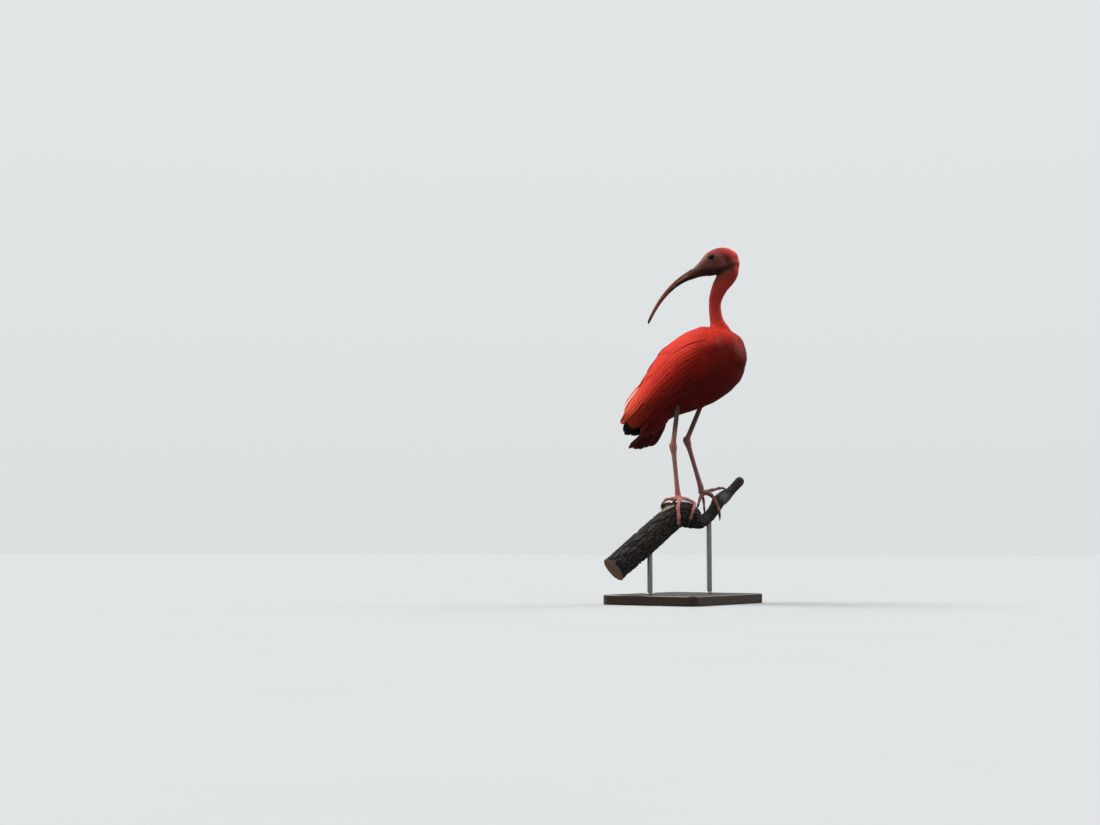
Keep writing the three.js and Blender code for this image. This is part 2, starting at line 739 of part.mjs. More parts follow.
// A claw goes on the way its toe ends and bends down past the bark.
function makeClaw(name, line, toeRadius) {
  const end = line.getPoint(1);
  const along = line.getTangent(1);
  const sections = [];
  for (let i = 0; i <= claw.steps; i++) {
    const share = i / claw.steps;
    const reach = gap + share * claw.length;
    const centre = end.clone().addScaledVector(along, reach);
    centre.z -= claw.droop * share * share;
    const size = THREE.MathUtils.lerp(claw.radius * (toeRadius / 3.1), claw.tipRadius, share ** 1.3);
    sections.push(section({ centre, along, side: size, up: size, down: size }, claw.around));
  }
  return node(name, cutBy(solidOf(loft(sections)), [perchClear]), finish(colours.claw, 0.4));
}

// Stand: a flat base and two rods up to the branch.
const rods = [
  { name: "stand_rod_right", part: "limb", row: 1.1 },
  { name: "stand_rod_left", part: "branch", row: 2.9 },
];
const rodRadius = 5;

function makeBase() {
  const { length, width, thickness, cornerRadius, bevel } = baseSize;
  const [x, y, r] = [length / 2 - bevel, width / 2 - bevel, cornerRadius];
  const outline = new THREE.Shape();
  outline.moveTo(-x + r, -y);
  outline.lineTo(x - r, -y);
  outline.absarc(x - r, -y + r, r, -Math.PI / 2, 0);
  outline.lineTo(x, y - r);
  outline.absarc(x - r, y - r, r, 0, Math.PI / 2);
  outline.lineTo(-x + r, y);
  outline.absarc(-x + r, y - r, r, Math.PI / 2, Math.PI);
  outline.lineTo(-x, -y + r);
  outline.absarc(-x + r, -y + r, r, Math.PI, 1.5 * Math.PI);
  const slab = new THREE.ExtrudeGeometry(outline, {
    depth: thickness - 2 * bevel,
    bevelThickness: bevel,
    bevelSize: bevel,
    bevelSegments: 1,
    curveSegments: 4,
  });
  return node("stand_base", solidOf(slab.translate(0, 0, bevel)), finish(colours.base, 0.5));
}

function makeRod({ name, part, row }) {
  const foot = baseSize.thickness - perchLevel + gap;
  const under = wood[part].read(row / wood[part].rows).centre;
  const height = under.z - foot;
  const rod = new THREE.CylinderGeometry(rodRadius, rodRadius, height, 20);
  rod.rotateX(Math.PI / 2);
  rod.translate(under.x, under.y, foot + height / 2);
  return node(name, cutBy(solidOf(rod), [perchClear]), finish(colours.steel, 0.35, 1));
}

const bird = new THREE.Group();
bird.position.copy(birdShift);
makeHead();
makeBill();
bird.add(head);
bird.add(node("torso", torso, finish(colours.scarletShade, 0.85)));
bird.add(...makeNeck());
bird.add(makeWing(1), makeWing(-1), makeTail());
for (const name of ["right", "left"]) bird.add(...makeLeg(name), ...makeFoot(name));
bird.add(node("perch", perch, finish(colours.bark, 0.95)));
bird.add(...rods.map(makeRod));

const model = new THREE.Group();
model.add(bird, makeBase());

export default model;
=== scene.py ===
import math

import bmesh
import bpy
import numpy as np
from mathutils import Euler, Matrix, Vector, kdtree, noise


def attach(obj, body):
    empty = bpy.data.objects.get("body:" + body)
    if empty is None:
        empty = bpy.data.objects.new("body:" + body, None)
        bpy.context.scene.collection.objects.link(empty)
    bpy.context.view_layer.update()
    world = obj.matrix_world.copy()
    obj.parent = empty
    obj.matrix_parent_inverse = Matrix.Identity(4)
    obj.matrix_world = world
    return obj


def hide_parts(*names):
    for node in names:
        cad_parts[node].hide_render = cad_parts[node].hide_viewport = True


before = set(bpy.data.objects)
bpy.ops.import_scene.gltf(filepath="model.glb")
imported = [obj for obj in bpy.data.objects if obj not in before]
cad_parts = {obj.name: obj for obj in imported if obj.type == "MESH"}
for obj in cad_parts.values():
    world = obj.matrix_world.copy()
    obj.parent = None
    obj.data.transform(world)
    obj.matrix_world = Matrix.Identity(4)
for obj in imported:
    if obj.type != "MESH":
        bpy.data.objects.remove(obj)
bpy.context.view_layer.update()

# The bird is described in millimetres from the hold of its right foot, as the part is.
birdShift = np.array([0.0, 25.0, 195.0])
scene = bpy.context.scene


def log(stage):
    print("scarlet ibis:", stage)


# Small helpers.
def toFrame(places):
    return (np.asarray(places, float).reshape(-1, 3) + birdShift) * 0.001


def toBird(places):
    return np.asarray(places, float).reshape(-1, 3) * 1000 - birdShift


def unit(rows):
    rows = np.asarray(rows, float)
    return rows / np.maximum(np.linalg.norm(rows, axis=-1, keepdims=True), 1e-9)


def smoothLine(rows):
    # Reads a smooth line through rows of numbers at shares from 0 to 1.
    rows = np.asarray(rows, float)
    padded = np.vstack([2 * rows[0] - rows[1], rows, 2 * rows[-1] - rows[-2]])

    def read(share):
        t = np.clip(np.atleast_1d(np.asarray(share, float)), 0, 1) * (len(rows) - 1)
        i = np.minimum(t.astype(int), len(rows) - 2)
        w = (t - i)[:, None]
        a, b, c, d = (padded[i + k] for k in range(4))
        start, end = (c - a) / 2, (d - b) / 2
        cubic = 2 * b - 2 * c + start + end
        square = 3 * c - 3 * b - 2 * start - end
        return b + start * w + square * w ** 2 + cubic * w ** 3

    return read


def linked(name, data):
    made = bpy.data.objects.new(name, data)
    scene.collection.objects.link(made)
    return made


def shadeSmooth(made, smooth=True):
    made.data.polygons.foreach_set("use_smooth", [smooth] * len(made.data.polygons))


def meshObject(name, places, faces, smooth=True, inFrame=False, edges=()):
    mesh = bpy.data.meshes.new(name)
    points = places if inFrame else toFrame(places)
    mesh.from_pydata([tuple(p) for p in points], edges, [tuple(int(i) for i in f) for f in faces])
    mesh.update()
    made = linked(name, mesh)
    if smooth:
        shadeSmooth(made)
    return made


def fromWork(work, name):
    mesh = bpy.data.meshes.new(name)
    work.to_mesh(mesh)
    work.free()
    return linked(name, mesh)


def ringFaces(rows, around, capStart=True, capEnd=True):
    i, j = np.meshgrid(np.arange(rows - 1), np.arange(around), indexing="ij")
    k = (j + 1) % around
    a, b, c, d = i * around + j, i * around + k, (i + 1) * around + k, (i + 1) * around + j
    faces = [tuple(f) for f in np.stack([a, b, c, d], -1).reshape(-1, 4)]
    if capStart:
        faces.append(tuple(range(around))[::-1])
    if capEnd:
        last = (rows - 1) * around
        faces.append(tuple(range(last, last + around)))
    return faces


def slab(first, second, rows, columns):
    # A closed sheet between two grids of places that have the same rows and columns.
    count = rows * columns
    faces = []
    for i in range(rows - 1):
        for a in range(i * columns, (i + 1) * columns - 1):
            faces.append((a, a + columns, a + columns + 1, a + 1))
            faces.append((a + count, a + 1 + count, a + columns + 1 + count, a + columns + count))
    rim = list(range(0, count - columns, columns)) + list(range(count - columns, count - 1))
    rim += list(range(count - 1, columns - 1, -columns)) + list(range(columns - 1, 0, -1))
    for a, b in zip(rim, rim[1:] + rim[:1]):
        faces.append((a, a + count, b + count, b))
    return facedOut(meshObject("slab", np.vstack([first, second]), faces))


def tubeRound(line, up, side, radii, around):
    turn = 2 * np.pi * np.arange(around) / around
    ring = up[:, None] * np.cos(turn)[None, :, None] + side[:, None] * np.sin(turn)[None, :, None]
    places = line[:, None] + ring * np.asarray(radii)[:, None, None]
    return facedOut(meshObject("tube", places.reshape(-1, 3), ringFaces(len(line), around)))


def alongLine(places, line, along):
    # In blocks: which places, the line's nearest station, how they lie to it, and the run so far.
    run = np.concatenate([[0], np.cumsum(np.linalg.norm(np.diff(line, axis=0), axis=1))])
    for start in range(0, len(places), 4000):
        block = slice(start, start + 4000)
        away = places[block, None] - line[None]
        distance = np.linalg.norm(away, axis=2)
        k = distance.argmin(1)
        row = np.arange(len(k))
        ahead = np.einsum("ij,ij->i", away[row, k], along[k])
        yield block, k, away[row, k], distance[row, k], ahead, run


def facedOut(made):
    work = bmesh.new()
    work.from_mesh(made.data)
    bmesh.ops.recalc_face_normals(work, faces=work.faces)
    work.to_mesh(made.data)
    work.free()
    return made


def baked(made, name=None):
    # The evaluated mesh of an object, with its modifiers gone, as a plain new object.
    depsgraph = bpy.context.evaluated_depsgraph_get()
    depsgraph.update()
    mesh = bpy.data.meshes.new_from_object(
        made.evaluated_get(depsgraph), preserve_all_data_layers=True, depsgraph=depsgraph
    )
    mesh.name = name or made.name
    old = made.name
    bpy.data.objects.remove(made)
    return linked(name or old, mesh)


def joinedMesh(pieces, name):
    work = bmesh.new()
    for piece in pieces:
        work.from_mesh(piece.data)
    for piece in pieces:
        bpy.data.objects.remove(piece)
    return fromWork(work, name)


def blob(middle, radii, fineness=3, turn=0):
    work = bmesh.new()
    bmesh.ops.create_icosphere(work, subdivisions=fineness, radius=1)
    places = np.array([v.co for v in work.verts]) * radii
    faces = [[v.index for v in f.verts] for f in work.faces]
    work.free()
    spin = np.array(Matrix.Rotation(math.radians(turn), 3, "Z"))
    return facedOut(meshObject("blob", places @ spin.T + np.array(middle), faces))


def remeshed(made, voxel, rounds=2, factor=0.5):
    grain = made.modifiers.new("voxels", "REMESH")
    grain.mode = "VOXEL"
    grain.voxel_size = voxel * 0.001
    grain.use_smooth_shade = True
    ease = made.modifiers.new("ease", "SMOOTH")
    ease.factor = factor
    ease.iterations = rounds
    return baked(made)


def placesOf(made):
    co = np.zeros(len(made.data.vertices) * 3, np.float32)
    made.data.vertices.foreach_get("co", co)
    return toBird(co.reshape(-1, 3))


def normalsOf(made):
    co = np.zeros(len(made.data.vertices) * 3, np.float32)
    made.data.vertex_normals.foreach_get("vector", co)
    return co.reshape(-1, 3).astype(float)


def setPlaces(made, places):
    made.data.vertices.foreach_set("co", toFrame(places).astype(np.float32).ravel())
    made.data.update()


def attribute(made, name, values):
    # Numbers or rows of three numbers, one for each vertex.
    values = np.asarray(values, np.float32)
    vector = values.ndim == 2 and values.shape[1] == 3
    layer = made.data.attributes.new(name, "FLOAT_VECTOR" if vector else "FLOAT", "POINT")
    layer.data.foreach_set("vector" if vector else "value", values.ravel())


def roughField(places, scale, seed, octaves=3):
    # Smooth noise about 0 at places in millimetres; scale is the size of its features.
    shift = Vector((seed * 17.3, seed * 5.1, seed * 9.7))
    return np.array([noise.fractal(Vector(p) / scale + shift, 0.9, 2.1, octaves) for p in places])


# Node trees: every call below works on the tree that was opened last.
desk = {}


def opened(tree):
    desk["tree"] = tree
    return tree


def join(value, socket):
    desk["tree"].links.new(value, socket)


def put(kind, inputs=None, **options):
    # Places a node, sets its options and joins or sets its inputs.
    made = desk["tree"].nodes.new(kind)
    for key, value in options.items():
        setattr(made, key, value)
    for key, value in (inputs or {}).items():
        if isinstance(value, bpy.types.NodeSocket):
            join(value, made.inputs[key])
        else:
            made.inputs[key].default_value = value
    return made


def node(kind, inputs=None, **options):
    return put(kind, inputs, **options).outputs[0]


def maths(operation, first, second=0.0):
    return node("ShaderNodeMath", {0: first, 1: second}, operation=operation)


def times(first, second):
    return maths("MULTIPLY", first, second)


def plus(first, second):
    return maths("ADD", first, second)


def less(first, second):
    return maths("SUBTRACT", first, second)


def absolute(value):
    return maths("ABSOLUTE", value)


def vectors(operation, first, second=None, scale=None):
    inputs = {0: first, 1: second, 3: scale}
    made = put(
        "ShaderNodeVectorMath", {k: v for k, v in inputs.items() if v is not None}, operation=operation
    )
    return made.outputs["Value" if operation in ("LENGTH", "DOT_PRODUCT") else "Vector"]


def parted(vector):
    return put("ShaderNodeSeparateXYZ", {0: vector}).outputs


def merged(x, y, z=0.0):
    return node("ShaderNodeCombineXYZ", {0: x, 1: y, 2: z})


def nodeGroup(kind, name, inputs, outputs):
    tree = opened(bpy.data.node_groups.new(name, kind))
    for side, sockets in (("INPUT", inputs), ("OUTPUT", outputs)):
        for label, socketKind, value in sockets:
            socket = tree.interface.new_socket(label, in_out=side, socket_type="NodeSocket" + socketKind)
            if value is not None:
                socket.default_value = value
    source = tree.nodes.new("NodeGroupInput").outputs
    sink = tree.nodes.new("NodeGroupOutput").inputs
    return tree, source, sink


def growOn(made, tree, values, name):
    # Puts a Geometry Nodes tree on an object and turns what it makes into a plain mesh.
    modifier = made.modifiers.new(tree.name, "NODES")
    modifier.node_group = tree
    for item in tree.interface.items_tree:
        if item.in_out == "INPUT" and item.name in values:
            modifier[item.identifier] = values[item.name]
    return baked(made, name)


def finished(made, slotName, *nodes):
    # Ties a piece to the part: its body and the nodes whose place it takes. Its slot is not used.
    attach(made, "root")
    if nodes:
        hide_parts(*nodes)
    log(f"{made.name}: {len(made.data.polygons)} faces")
    return made


# Camera, floor and light.
studio = {
    "cameraPlace": (1.504597, -2.587545, 0.09915), "cameraTurn": (95, 0, 35), "lens": 51.68,
    "floorSize": 60, "floorColour": (0.50, 0.510, 0.515, 1), "floorBounce": (0.12, 0.12, 0.123, 1),
    "skyLow": (0.74, 0.76, 0.77, 1), "skyHigh": (0.80, 0.82, 0.83, 1), "lightBelow": 0.035,
    "lightAbove": 1.0, "shownStrength": 0.97,
}

cameraData = bpy.data.cameras.new("camera")
cameraData.lens = studio["lens"]
cameraData.sensor_width = 36
cameraData.clip_end = 100
camera = linked("camera", cameraData)
camera.location = studio["cameraPlace"]
camera.rotation_euler = Euler([math.radians(a) for a in studio["cameraTurn"]])
scene.camera = camera
scene.view_settings.view_transform = "Standard"
scene.view_settings.look = "None"

lamps = [
    # name, where it shines from, width in degrees, strength
    ("key", (-0.62, -0.22, 1.05), 34, 2.3),
    ("rim", (0.42, 0.85, 0.72), 40, 1.3),
    ("side", (-1.0, 0.05, 0.12), 50, 0.55),
]
for name, place, width, strength in lamps:
    lampData = bpy.data.lights.new(name, "SUN")
    lampData.angle = math.radians(width)
    lampData.energy = strength
    lamp = linked(name, lampData)
    lamp.location = place
    lamp.rotation_euler = Vector(place).to_track_quat("Z", "Y").to_euler()

world = bpy.data.worlds.new("studio")
scene.world = world
world.use_nodes = True
sky = opened(world.node_tree)
skyHeight = parted(put("ShaderNodeTexCoord").outputs["Generated"])["Z"]
skyShare = node("ShaderNodeMapRange", {0: skyHeight, 1: 0.0, 2: 0.35})
skyColours = {0: skyShare, 6: studio["skyLow"], 7: studio["skyHigh"]}
join(put("ShaderNodeMix", skyColours, data_type="RGBA").outputs[2], sky.nodes["Background"].inputs[0])
strengths = {3: studio["lightBelow"], 4: studio["lightAbove"]}
skyLight = node("ShaderNodeMapRange", {0: skyHeight, 1: -0.1, 2: 0.9, **strengths})
seen = put("ShaderNodeLightPath").outputs["Is Camera Ray"]
shown = node("ShaderNodeMapRange", {0: seen, 3: skyLight, 4: studio["shownStrength"]})
join(shown, sky.nodes["Background"].inputs[1])

half = studio["floorSize"] / 2
floor = meshObject(
    "floor", [(-half, -half, 0), (half, -half, 0), (half, half, 0), (-half, half, 0)], [(0, 1, 2, 3)],
    smooth=False, inFrame=True,
)


# Materials.
def material(name, settings):
    made = bpy.data.materials.new(name)
    made.use_nodes = True
    shader = opened(made.node_tree).nodes["Principled BSDF"]
    for key, value in settings.items():
        shader.inputs[key].default_value = value
    return made, shader


def mix(share, first, second):
    return put("ShaderNodeMix", {0: share, 6: first, 7: second}, data_type="RGBA").outputs[2]


def band(value, low, high, outLow=0.0, outHigh=1.0):
    inputs = {0: value, 1: low, 2: high, 3: outLow, 4: outHigh}
    return node("ShaderNodeMapRange", inputs, interpolation_type="SMOOTHSTEP")


def noiseValue(place, scale, detail=3.0, rough=0.55):
    return node(
        "ShaderNodeTexNoise", {"Vector": place, "Scale": scale, "Detail": detail, "Roughness": rough}
    )


def cellEdges(place, scale):
    inputs = {"Vector": place, "Scale": scale}
    return put("ShaderNodeTexVoronoi", inputs, feature="DISTANCE_TO_EDGE").outputs["Distance"]


def stretched(place, scale):
    return node("ShaderNodeMapping", {"Vector": place, "Scale": scale})


def objectPlace():
    return put("ShaderNodeTexCoord").outputs["Object"]


def stored(name, output="Fac"):
    return put("ShaderNodeAttribute", attribute_name=name).outputs[output]


def layered(colour, colours, shares):
    # Mixes named colours over one another, each by its share.
    for share, name in shares:
        colour = mix(share, colour, colours[name])
    return colour


def waves(value, count):
    return plus(times(maths("SINE", times(value, count)), 0.5), 0.5)


def coloured(shader, colour, rough, height, strength, distance):
    # The ends of a material: its colour, roughness and fine relief.
    join(colour, shader.inputs["Base Color"])
    join(rough, shader.inputs["Roughness"])
    relief = node("ShaderNodeBump", {"Height": height, "Strength": strength, "Distance": distance})
    join(relief, shader.inputs["Normal"])


floorPaint, shader = material("pale floor", {"Roughness": 0.85})
speck = band(noiseValue(objectPlace(), 3.0), 0.2, 0.8, 0.0, 0.04)
light = mix(speck, studio["floorColour"], studio["floorBounce"])
seen = put("ShaderNodeLightPath").outputs["Is Camera Ray"]
join(mix(seen, studio["floorBounce"], light), shader.inputs["Base Color"])
floor.data.materials.append(floorPaint)

headPlace = np.array([66.4, -2.3, 449.7])
headTurn = np.array(Matrix.Rotation(math.radians(-140), 3, "Z") @ Matrix.Rotation(math.radians(25), 3, "Y"))


def fromHead(places):
    return np.asarray(places, float).reshape(-1, 3) @ headTurn.T + headPlace


def toHead(places):
    return (np.asarray(places, float).reshape(-1, 3) - headPlace) @ headTurn


# Plumage colour by place on the bird, shared by the skin and every feather.
# The under colour is painted shade, much darker than the underparts' own scarlet.
plumage = {
    "scarlet": (0.80, 0.030, 0.011, 1), "orangeAndGlow": (0.97, 0.115, 0.030, 1), "rose": (0.62, 0.058, 0.044, 1),
    "crown": (0.40, 0.050, 0.038, 1), "napeAndRimLight": (0.90, 0.085, 0.075, 1), "under": (0.150, 0.009, 0.007, 1),
    "face": (0.31, 0.082, 0.062, 1), "brow": (0.36, 0.135, 0.080, 1), "dusk": (0.050, 0.016, 0.012, 1),
}


def plumageGroup():
    # Rosier on the neck, browner on the head, orange to the rear of the wings with some painted glow, and
    # deep below with painted shade.
    tree, source, sink = nodeGroup(
        "ShaderNodeTree", "plumage colour", [("Place", "Vector", None), ("Tone", "Float", 0.5)],
        [("Color", "Color", None)],
    )
    place = source["Place"]
    parts = parted(place)
    x, z = parts["X"], parts["Z"]
    cloud = noiseValue(place, 24.0, 3.0, 0.6)
    sway = times(less(cloud, 0.5), 0.035)
    high = plus(z, sway)
    # Painted shade on the underparts: below a line that falls towards the tail, and the whole front of the
    # breast.
    below = band(less(high, times(x, 0.62)), 0.462, 0.372)
    front = times(band(plus(x, sway), 0.030, 0.105), band(high, 0.520, 0.468, 0.0, 0.92))
    rear = plus(x, times(z, 0.35))
    # Towards the rear the wings turn orange: partly their own warmer tone, partly painted glow of light
    # through the feathers.
    upper = mix(band(rear, 0.085, -0.02), plumage["scarlet"], plumage["orangeAndGlow"])
    colour = mix(maths("MAXIMUM", below, front), upper, plumage["under"])
    colour = mix(band(high, 0.512, 0.560), colour, plumage["rose"])
    # Head: read in its own turned frame.
    away = vectors("SUBTRACT", place, tuple(toFrame(headPlace)[0]))
    ahead, wide, rise = (vectors("DOT_PRODUCT", away, tuple(headTurn[:, axis])) for axis in range(3))
    nearHead = band(vectors("LENGTH", away), 0.052, 0.036)
    swayed = plus(ahead, sway)
    # Towards the back of the head the crown gives way to the nape's own scarlet, brightened with painted
    # rim light.
    headColour = mix(band(swayed, -0.012, -0.030), plumage["crown"], plumage["napeAndRimLight"])
    cheek = times(band(swayed, -0.022, -0.006), band(rise, 0.019, 0.008))
    cheek = times(cheek, band(rise, -0.030, -0.022))
    brow = times(band(ahead, 0.008, 0.020), band(rise, 0.010, 0.016))
    jaw = times(band(rise, -0.008, -0.016), band(rise, -0.028, -0.021))
    jaw = times(times(jaw, band(swayed, -0.026, -0.012)), 0.9)
    ear = merged(plus(ahead, 0.0150), less(absolute(wide), 0.018), times(plus(rise, 0.006), 0.55))
    ear = band(vectors("LENGTH", ear), 0.0085, 0.0030, 0.0, 0.8)
    shares = [(cheek, "face"), (brow, "brow"), (jaw, "dusk"), (ear, "dusk")]
    headColour = layered(headColour, plumage, shares)
    light = band(plus(source["Tone"], times(cloud, 0.4)), 0.1, 1.3, 0.80, 1.16)
    join(vectors("SCALE", mix(nearHead, colour, headColour), scale=light), sink["Color"])
    return tree


def barbGroup():
    # Fine slanting barbs either side of a feather's shaft, from its own across and along.
    tree, source, sink = nodeGroup(
        "ShaderNodeTree", "barbs",
        [("Own", "Vector", None), ("Count", "Float", 60.0), ("Slant", "Float", 0.35)],
        [("Height", "Float", None), ("Shaft", "Float", None)],
    )
    parts = parted(source["Own"])
    away = absolute(parts["X"])
    slid = less(parts["Y"], times(away, source["Slant"]))
    shaft = band(away, 0.12, 0.02)
    join(plus(waves(slid, source["Count"]), shaft), sink["Height"])
    join(shaft, sink["Shaft"])
    return tree


plumageTree = plumageGroup()
barbTree = barbGroup()
featherColours = {
    "edge": (0.95, 0.16, 0.07, 1), "root": (0.30, 0.016, 0.010, 1), "shaft": (0.22, 0.012, 0.008, 1),
    "barb": (0.30, 0.010, 0.006, 1), "shadow": (0.035, 0.006, 0.005, 1), "rim": (0.50, 0.032, 0.022, 1),
    "black": (0.008, 0.007, 0.008, 1), "sheen": (1.0, 0.20, 0.10, 1),
}


def featherPaint(name, count, bump, blackTips=False, shaftShade=0.15, edgeShine=0.06, shade=0.0):
    made, shader = material(
        name,
        {
            "Roughness": 0.62, "Specular IOR Level": 0.10, "Sheen Weight": 0.05, "Sheen Roughness": 0.4,
            "Sheen Tint": featherColours["sheen"],
        },
    )
    own = stored("own", "Vector")
    shown = put("ShaderNodeGroup", node_tree=plumageTree)
    join(objectPlace(), shown.inputs["Place"])
    join(stored("tone"), shown.inputs["Tone"])
    barbs = put("ShaderNodeGroup", node_tree=barbTree)
    join(own, barbs.inputs["Own"])
    barbs.inputs["Count"].default_value = count
    height = barbs.outputs["Height"]
    across, along = absolute(parted(own)["X"]), parted(own)["Y"]
    shares = [
        # The edge share is a painted highlight along the sides of each feather.
        (times(band(across, 0.6, 1.0), edgeShine), "edge"), (band(along, 0.55, 0.0, 0.0, 0.3), "root"),
        (times(barbs.outputs["Shaft"], shaftShade), "shaft"), (times(height, 0.10), "barb"),
    ]
    if shade:
        # Dark in its own shadow, with light through the tips and the outermost rim.
        rim = times(stored("glow"), band(across, 0.70, 0.96))
        rim = maths("MAXIMUM", rim, band(along, 0.955, 0.985))
        shares += [(shade, "shadow"), (rim, "rim")]
    if blackTips:
        shares.append((band(less(along, less(1.0, stored("black"))), -0.03, 0.03), "black"))
    shown = layered(shown.outputs[0], featherColours, shares)
    coloured(shader, shown, band(height, 0.0, 1.0, 0.70, 0.55), height, bump, 0.0004)
    return made


smallPaint = featherPaint("small body feathers", 42.0, 0.12, shaftShade=0.05)
softPaint = featherPaint("short neck feathers", 16.0, 0.15, shaftShade=0.04)
vanePaint = featherPaint("wing vanes", 150.0, 0.16, blackTips=True, shaftShade=0.18, edgeShine=0.10)
tailPaint = featherPaint("tail vanes", 150.0, 0.16, shaftShade=0.18, shade=0.72)

# Skin: bare and brownish on the face, otherwise the plumage colours, painted shade and light included.
faceColours = {
    "rose": (0.275, 0.076, 0.057, 1), "brown": (0.180, 0.057, 0.041, 1), "dusk": (0.036, 0.013, 0.010, 1),
    "lore": (0.19, 0.078, 0.044, 1),
}
skinPaint, shader = material("skin", {"Roughness": 0.55, "Specular IOR Level": 0.22})
place = objectPlace()
plumed = put("ShaderNodeGroup", node_tree=plumageTree)
join(place, plumed.inputs["Place"])
spots = noiseValue(place, 420.0, 4.0, 0.6)
cloud = noiseValue(place, 110.0, 3.0, 0.5)
colour = mix(band(cloud, 0.35, 0.65), faceColours["brown"], faceColours["rose"])
colour = mix(times(band(spots, 0.5, 0.7), 0.35), colour, faceColours["dusk"])
colour = layered(colour, faceColours, [(stored(name), name) for name in ("lore", "dusk")])
colour = mix(stored("bare"), plumed.outputs[0], colour)
relief = plus(times(cellEdges(place, 900.0), 0.8), spots)
coloured(shader, colour, band(spots, 0.3, 0.8, 0.45, 0.68), relief, 0.45, 0.0005)

log("paints ready")


# Flesh: lofts under the coat.
# rows: x, y, z, half width, up, down, keel, feather length
torsoRows = [
    [116, 0, 273, 7, 7, 7, 2, 11], [111, 0, 272, 28, 28, 26, 2, 11], [99, 0, 271, 44, 47, 43, 2, 12],
    [81, 0, 267, 56, 62, 56, 2, 13], [52, 0, 257, 61, 69, 65, 1.95, 15], [8, 0, 233, 57, 72, 65, 1.7, 18],
    [-30, 0, 202, 47, 61, 48, 1.45, 19], [-62, 0, 168, 36, 45, 19, 1.7, 19],
    [-73, 0, 156, 28, 36, 14, 1.9, 18], [-80, 0, 148, 10, 13, 6, 2, 18],
]
neckRows = [
    [80, 0, 288, 25, 26, 26, 2, 11], [71, 0, 314, 20, 20, 20, 2, 9.5],
    [62.5, 0, 334, 15.2, 15.2, 15.2, 2, 8], [58.5, 0, 352, 13.4, 13.6, 13.6, 2, 7],
    [57.5, 0, 370, 13, 13.4, 13.4, 2, 6.5], [61, 0, 386, 14.2, 14.6, 14.6, 2, 6],
    [69, 2, 404, 17, 17, 17, 2, 5.5], [78, 6, 419, 19, 19.5, 19.5, 2, 5],
    [84.5, 8.5, 431, 19, 19.3, 19.3, 2, 5], [86.6, 8, 443, 16.5, 16.8, 16.8, 2, 5],
]
headRows = [
    [-38, 0, -10, 5, 5, 5, 2, 5], [-36, 0, -9.5, 11, 12, 13, 2, 5], [-29, 0, -7, 16, 18, 19, 2, 4.8],
    [-18, 0, -3.5, 19, 25, 21, 2, 4.6], [-4, 0, -0.5, 19.8, 27, 22, 2, 4.2],
    [11, 0, 0.5, 18.3, 25.3, 21.5, 2, 3.8], [24, 0, 0, 14.8, 19.8, 18.4, 2, 3.2],
    [34, 0, -0.5, 11.6, 14.8, 13.6, 2, 3], [47, 0, -1, 8.8, 10.6, 9.8, 2, 3],
]
napeRows = [
    [-36.5, 1.5, -16, 5, 5, 3, 2, 5], [-34, 1.5, -16, 11, 10, 7, 2, 5], [-27, 1.5, -16, 16.5, 16, 15, 2, 5],
    [-16, 2, -15, 18.8, 17, 17, 2, 5], [-4, 2, -14, 17, 15, 15, 2, 5],
]
tailBaseRows = [
    # from the torso's end along the tail
    [-64, 0, 161, 27, 24, 15, 2, 17],
    [-75.4, 0, 149.5, 27, 24, 15, 2, 17],
    [-89, 0, 137.6, 24.1, 17.5, 11, 2, 17],
    [-99, 0, 129, 19, 9.1, 5.7, 2, 16],
    [-106, 0, 123, 11, 3, 2, 2, 16],
]
thighRows = {
    "right": [
        [12, -27, 222, 22, 22, 22, 2, 13], [3, -28, 202, 17, 17, 17, 2, 12],
        [-5, -28.6, 187, 10.5, 10.5, 10.5, 2, 10], [-8.8, -28.4, 178, 6.4, 6.4, 6.4, 2, 8],
    ],
    "left": [
        [30, 27, 222, 22, 22, 22, 2, 13], [20, 29, 203, 17, 17, 17, 2, 12],
        [11.6, 30, 187, 10.5, 10.5, 10.5, 2, 10], [7.2, 30, 179, 6.4, 6.4, 6.4, 2, 8],
    ],
}
# Flank feathers that close the gap between the belly and the folded wing, for the left side.
flankRows = np.array(
    [
        [72, 48, 243, 10, 10, 10, 2, 12], [44, 52.5, 231, 13, 13, 13, 2, 12],
        [6, 50.5, 206, 12.5, 12.5, 12.5, 2, 12], [-34, 40, 189, 11, 11, 11, 2, 12],
        [-66, 28, 176, 7, 7, 7, 2, 12],
    ],
    float,
)
wristPlug = {"middle": (77, 51.5, 277), "radii": (12.5, 6.5, 12)}
fleshWork = {
    "bodyVoxel": 2.0, "headVoxel": 1.0, "fill": 0.95, "bodyRounds": 280, "wristRounds": 400,
    "headRounds": 420, "relaxRounds": 60, "neckPull": 0.14,
}
coatDepth = {"torso": 2.6, "neck": 2.0, "head": 0.9, "thigh": 1.8, "tailBase": 2.4, "wing": 1.6}


# Where feathers grow, gathered part by part: place, lie, length and share.
lies = []


def noteLie(places, lie, length, share):
    lies.append(np.column_stack([places, lie, length, share]))


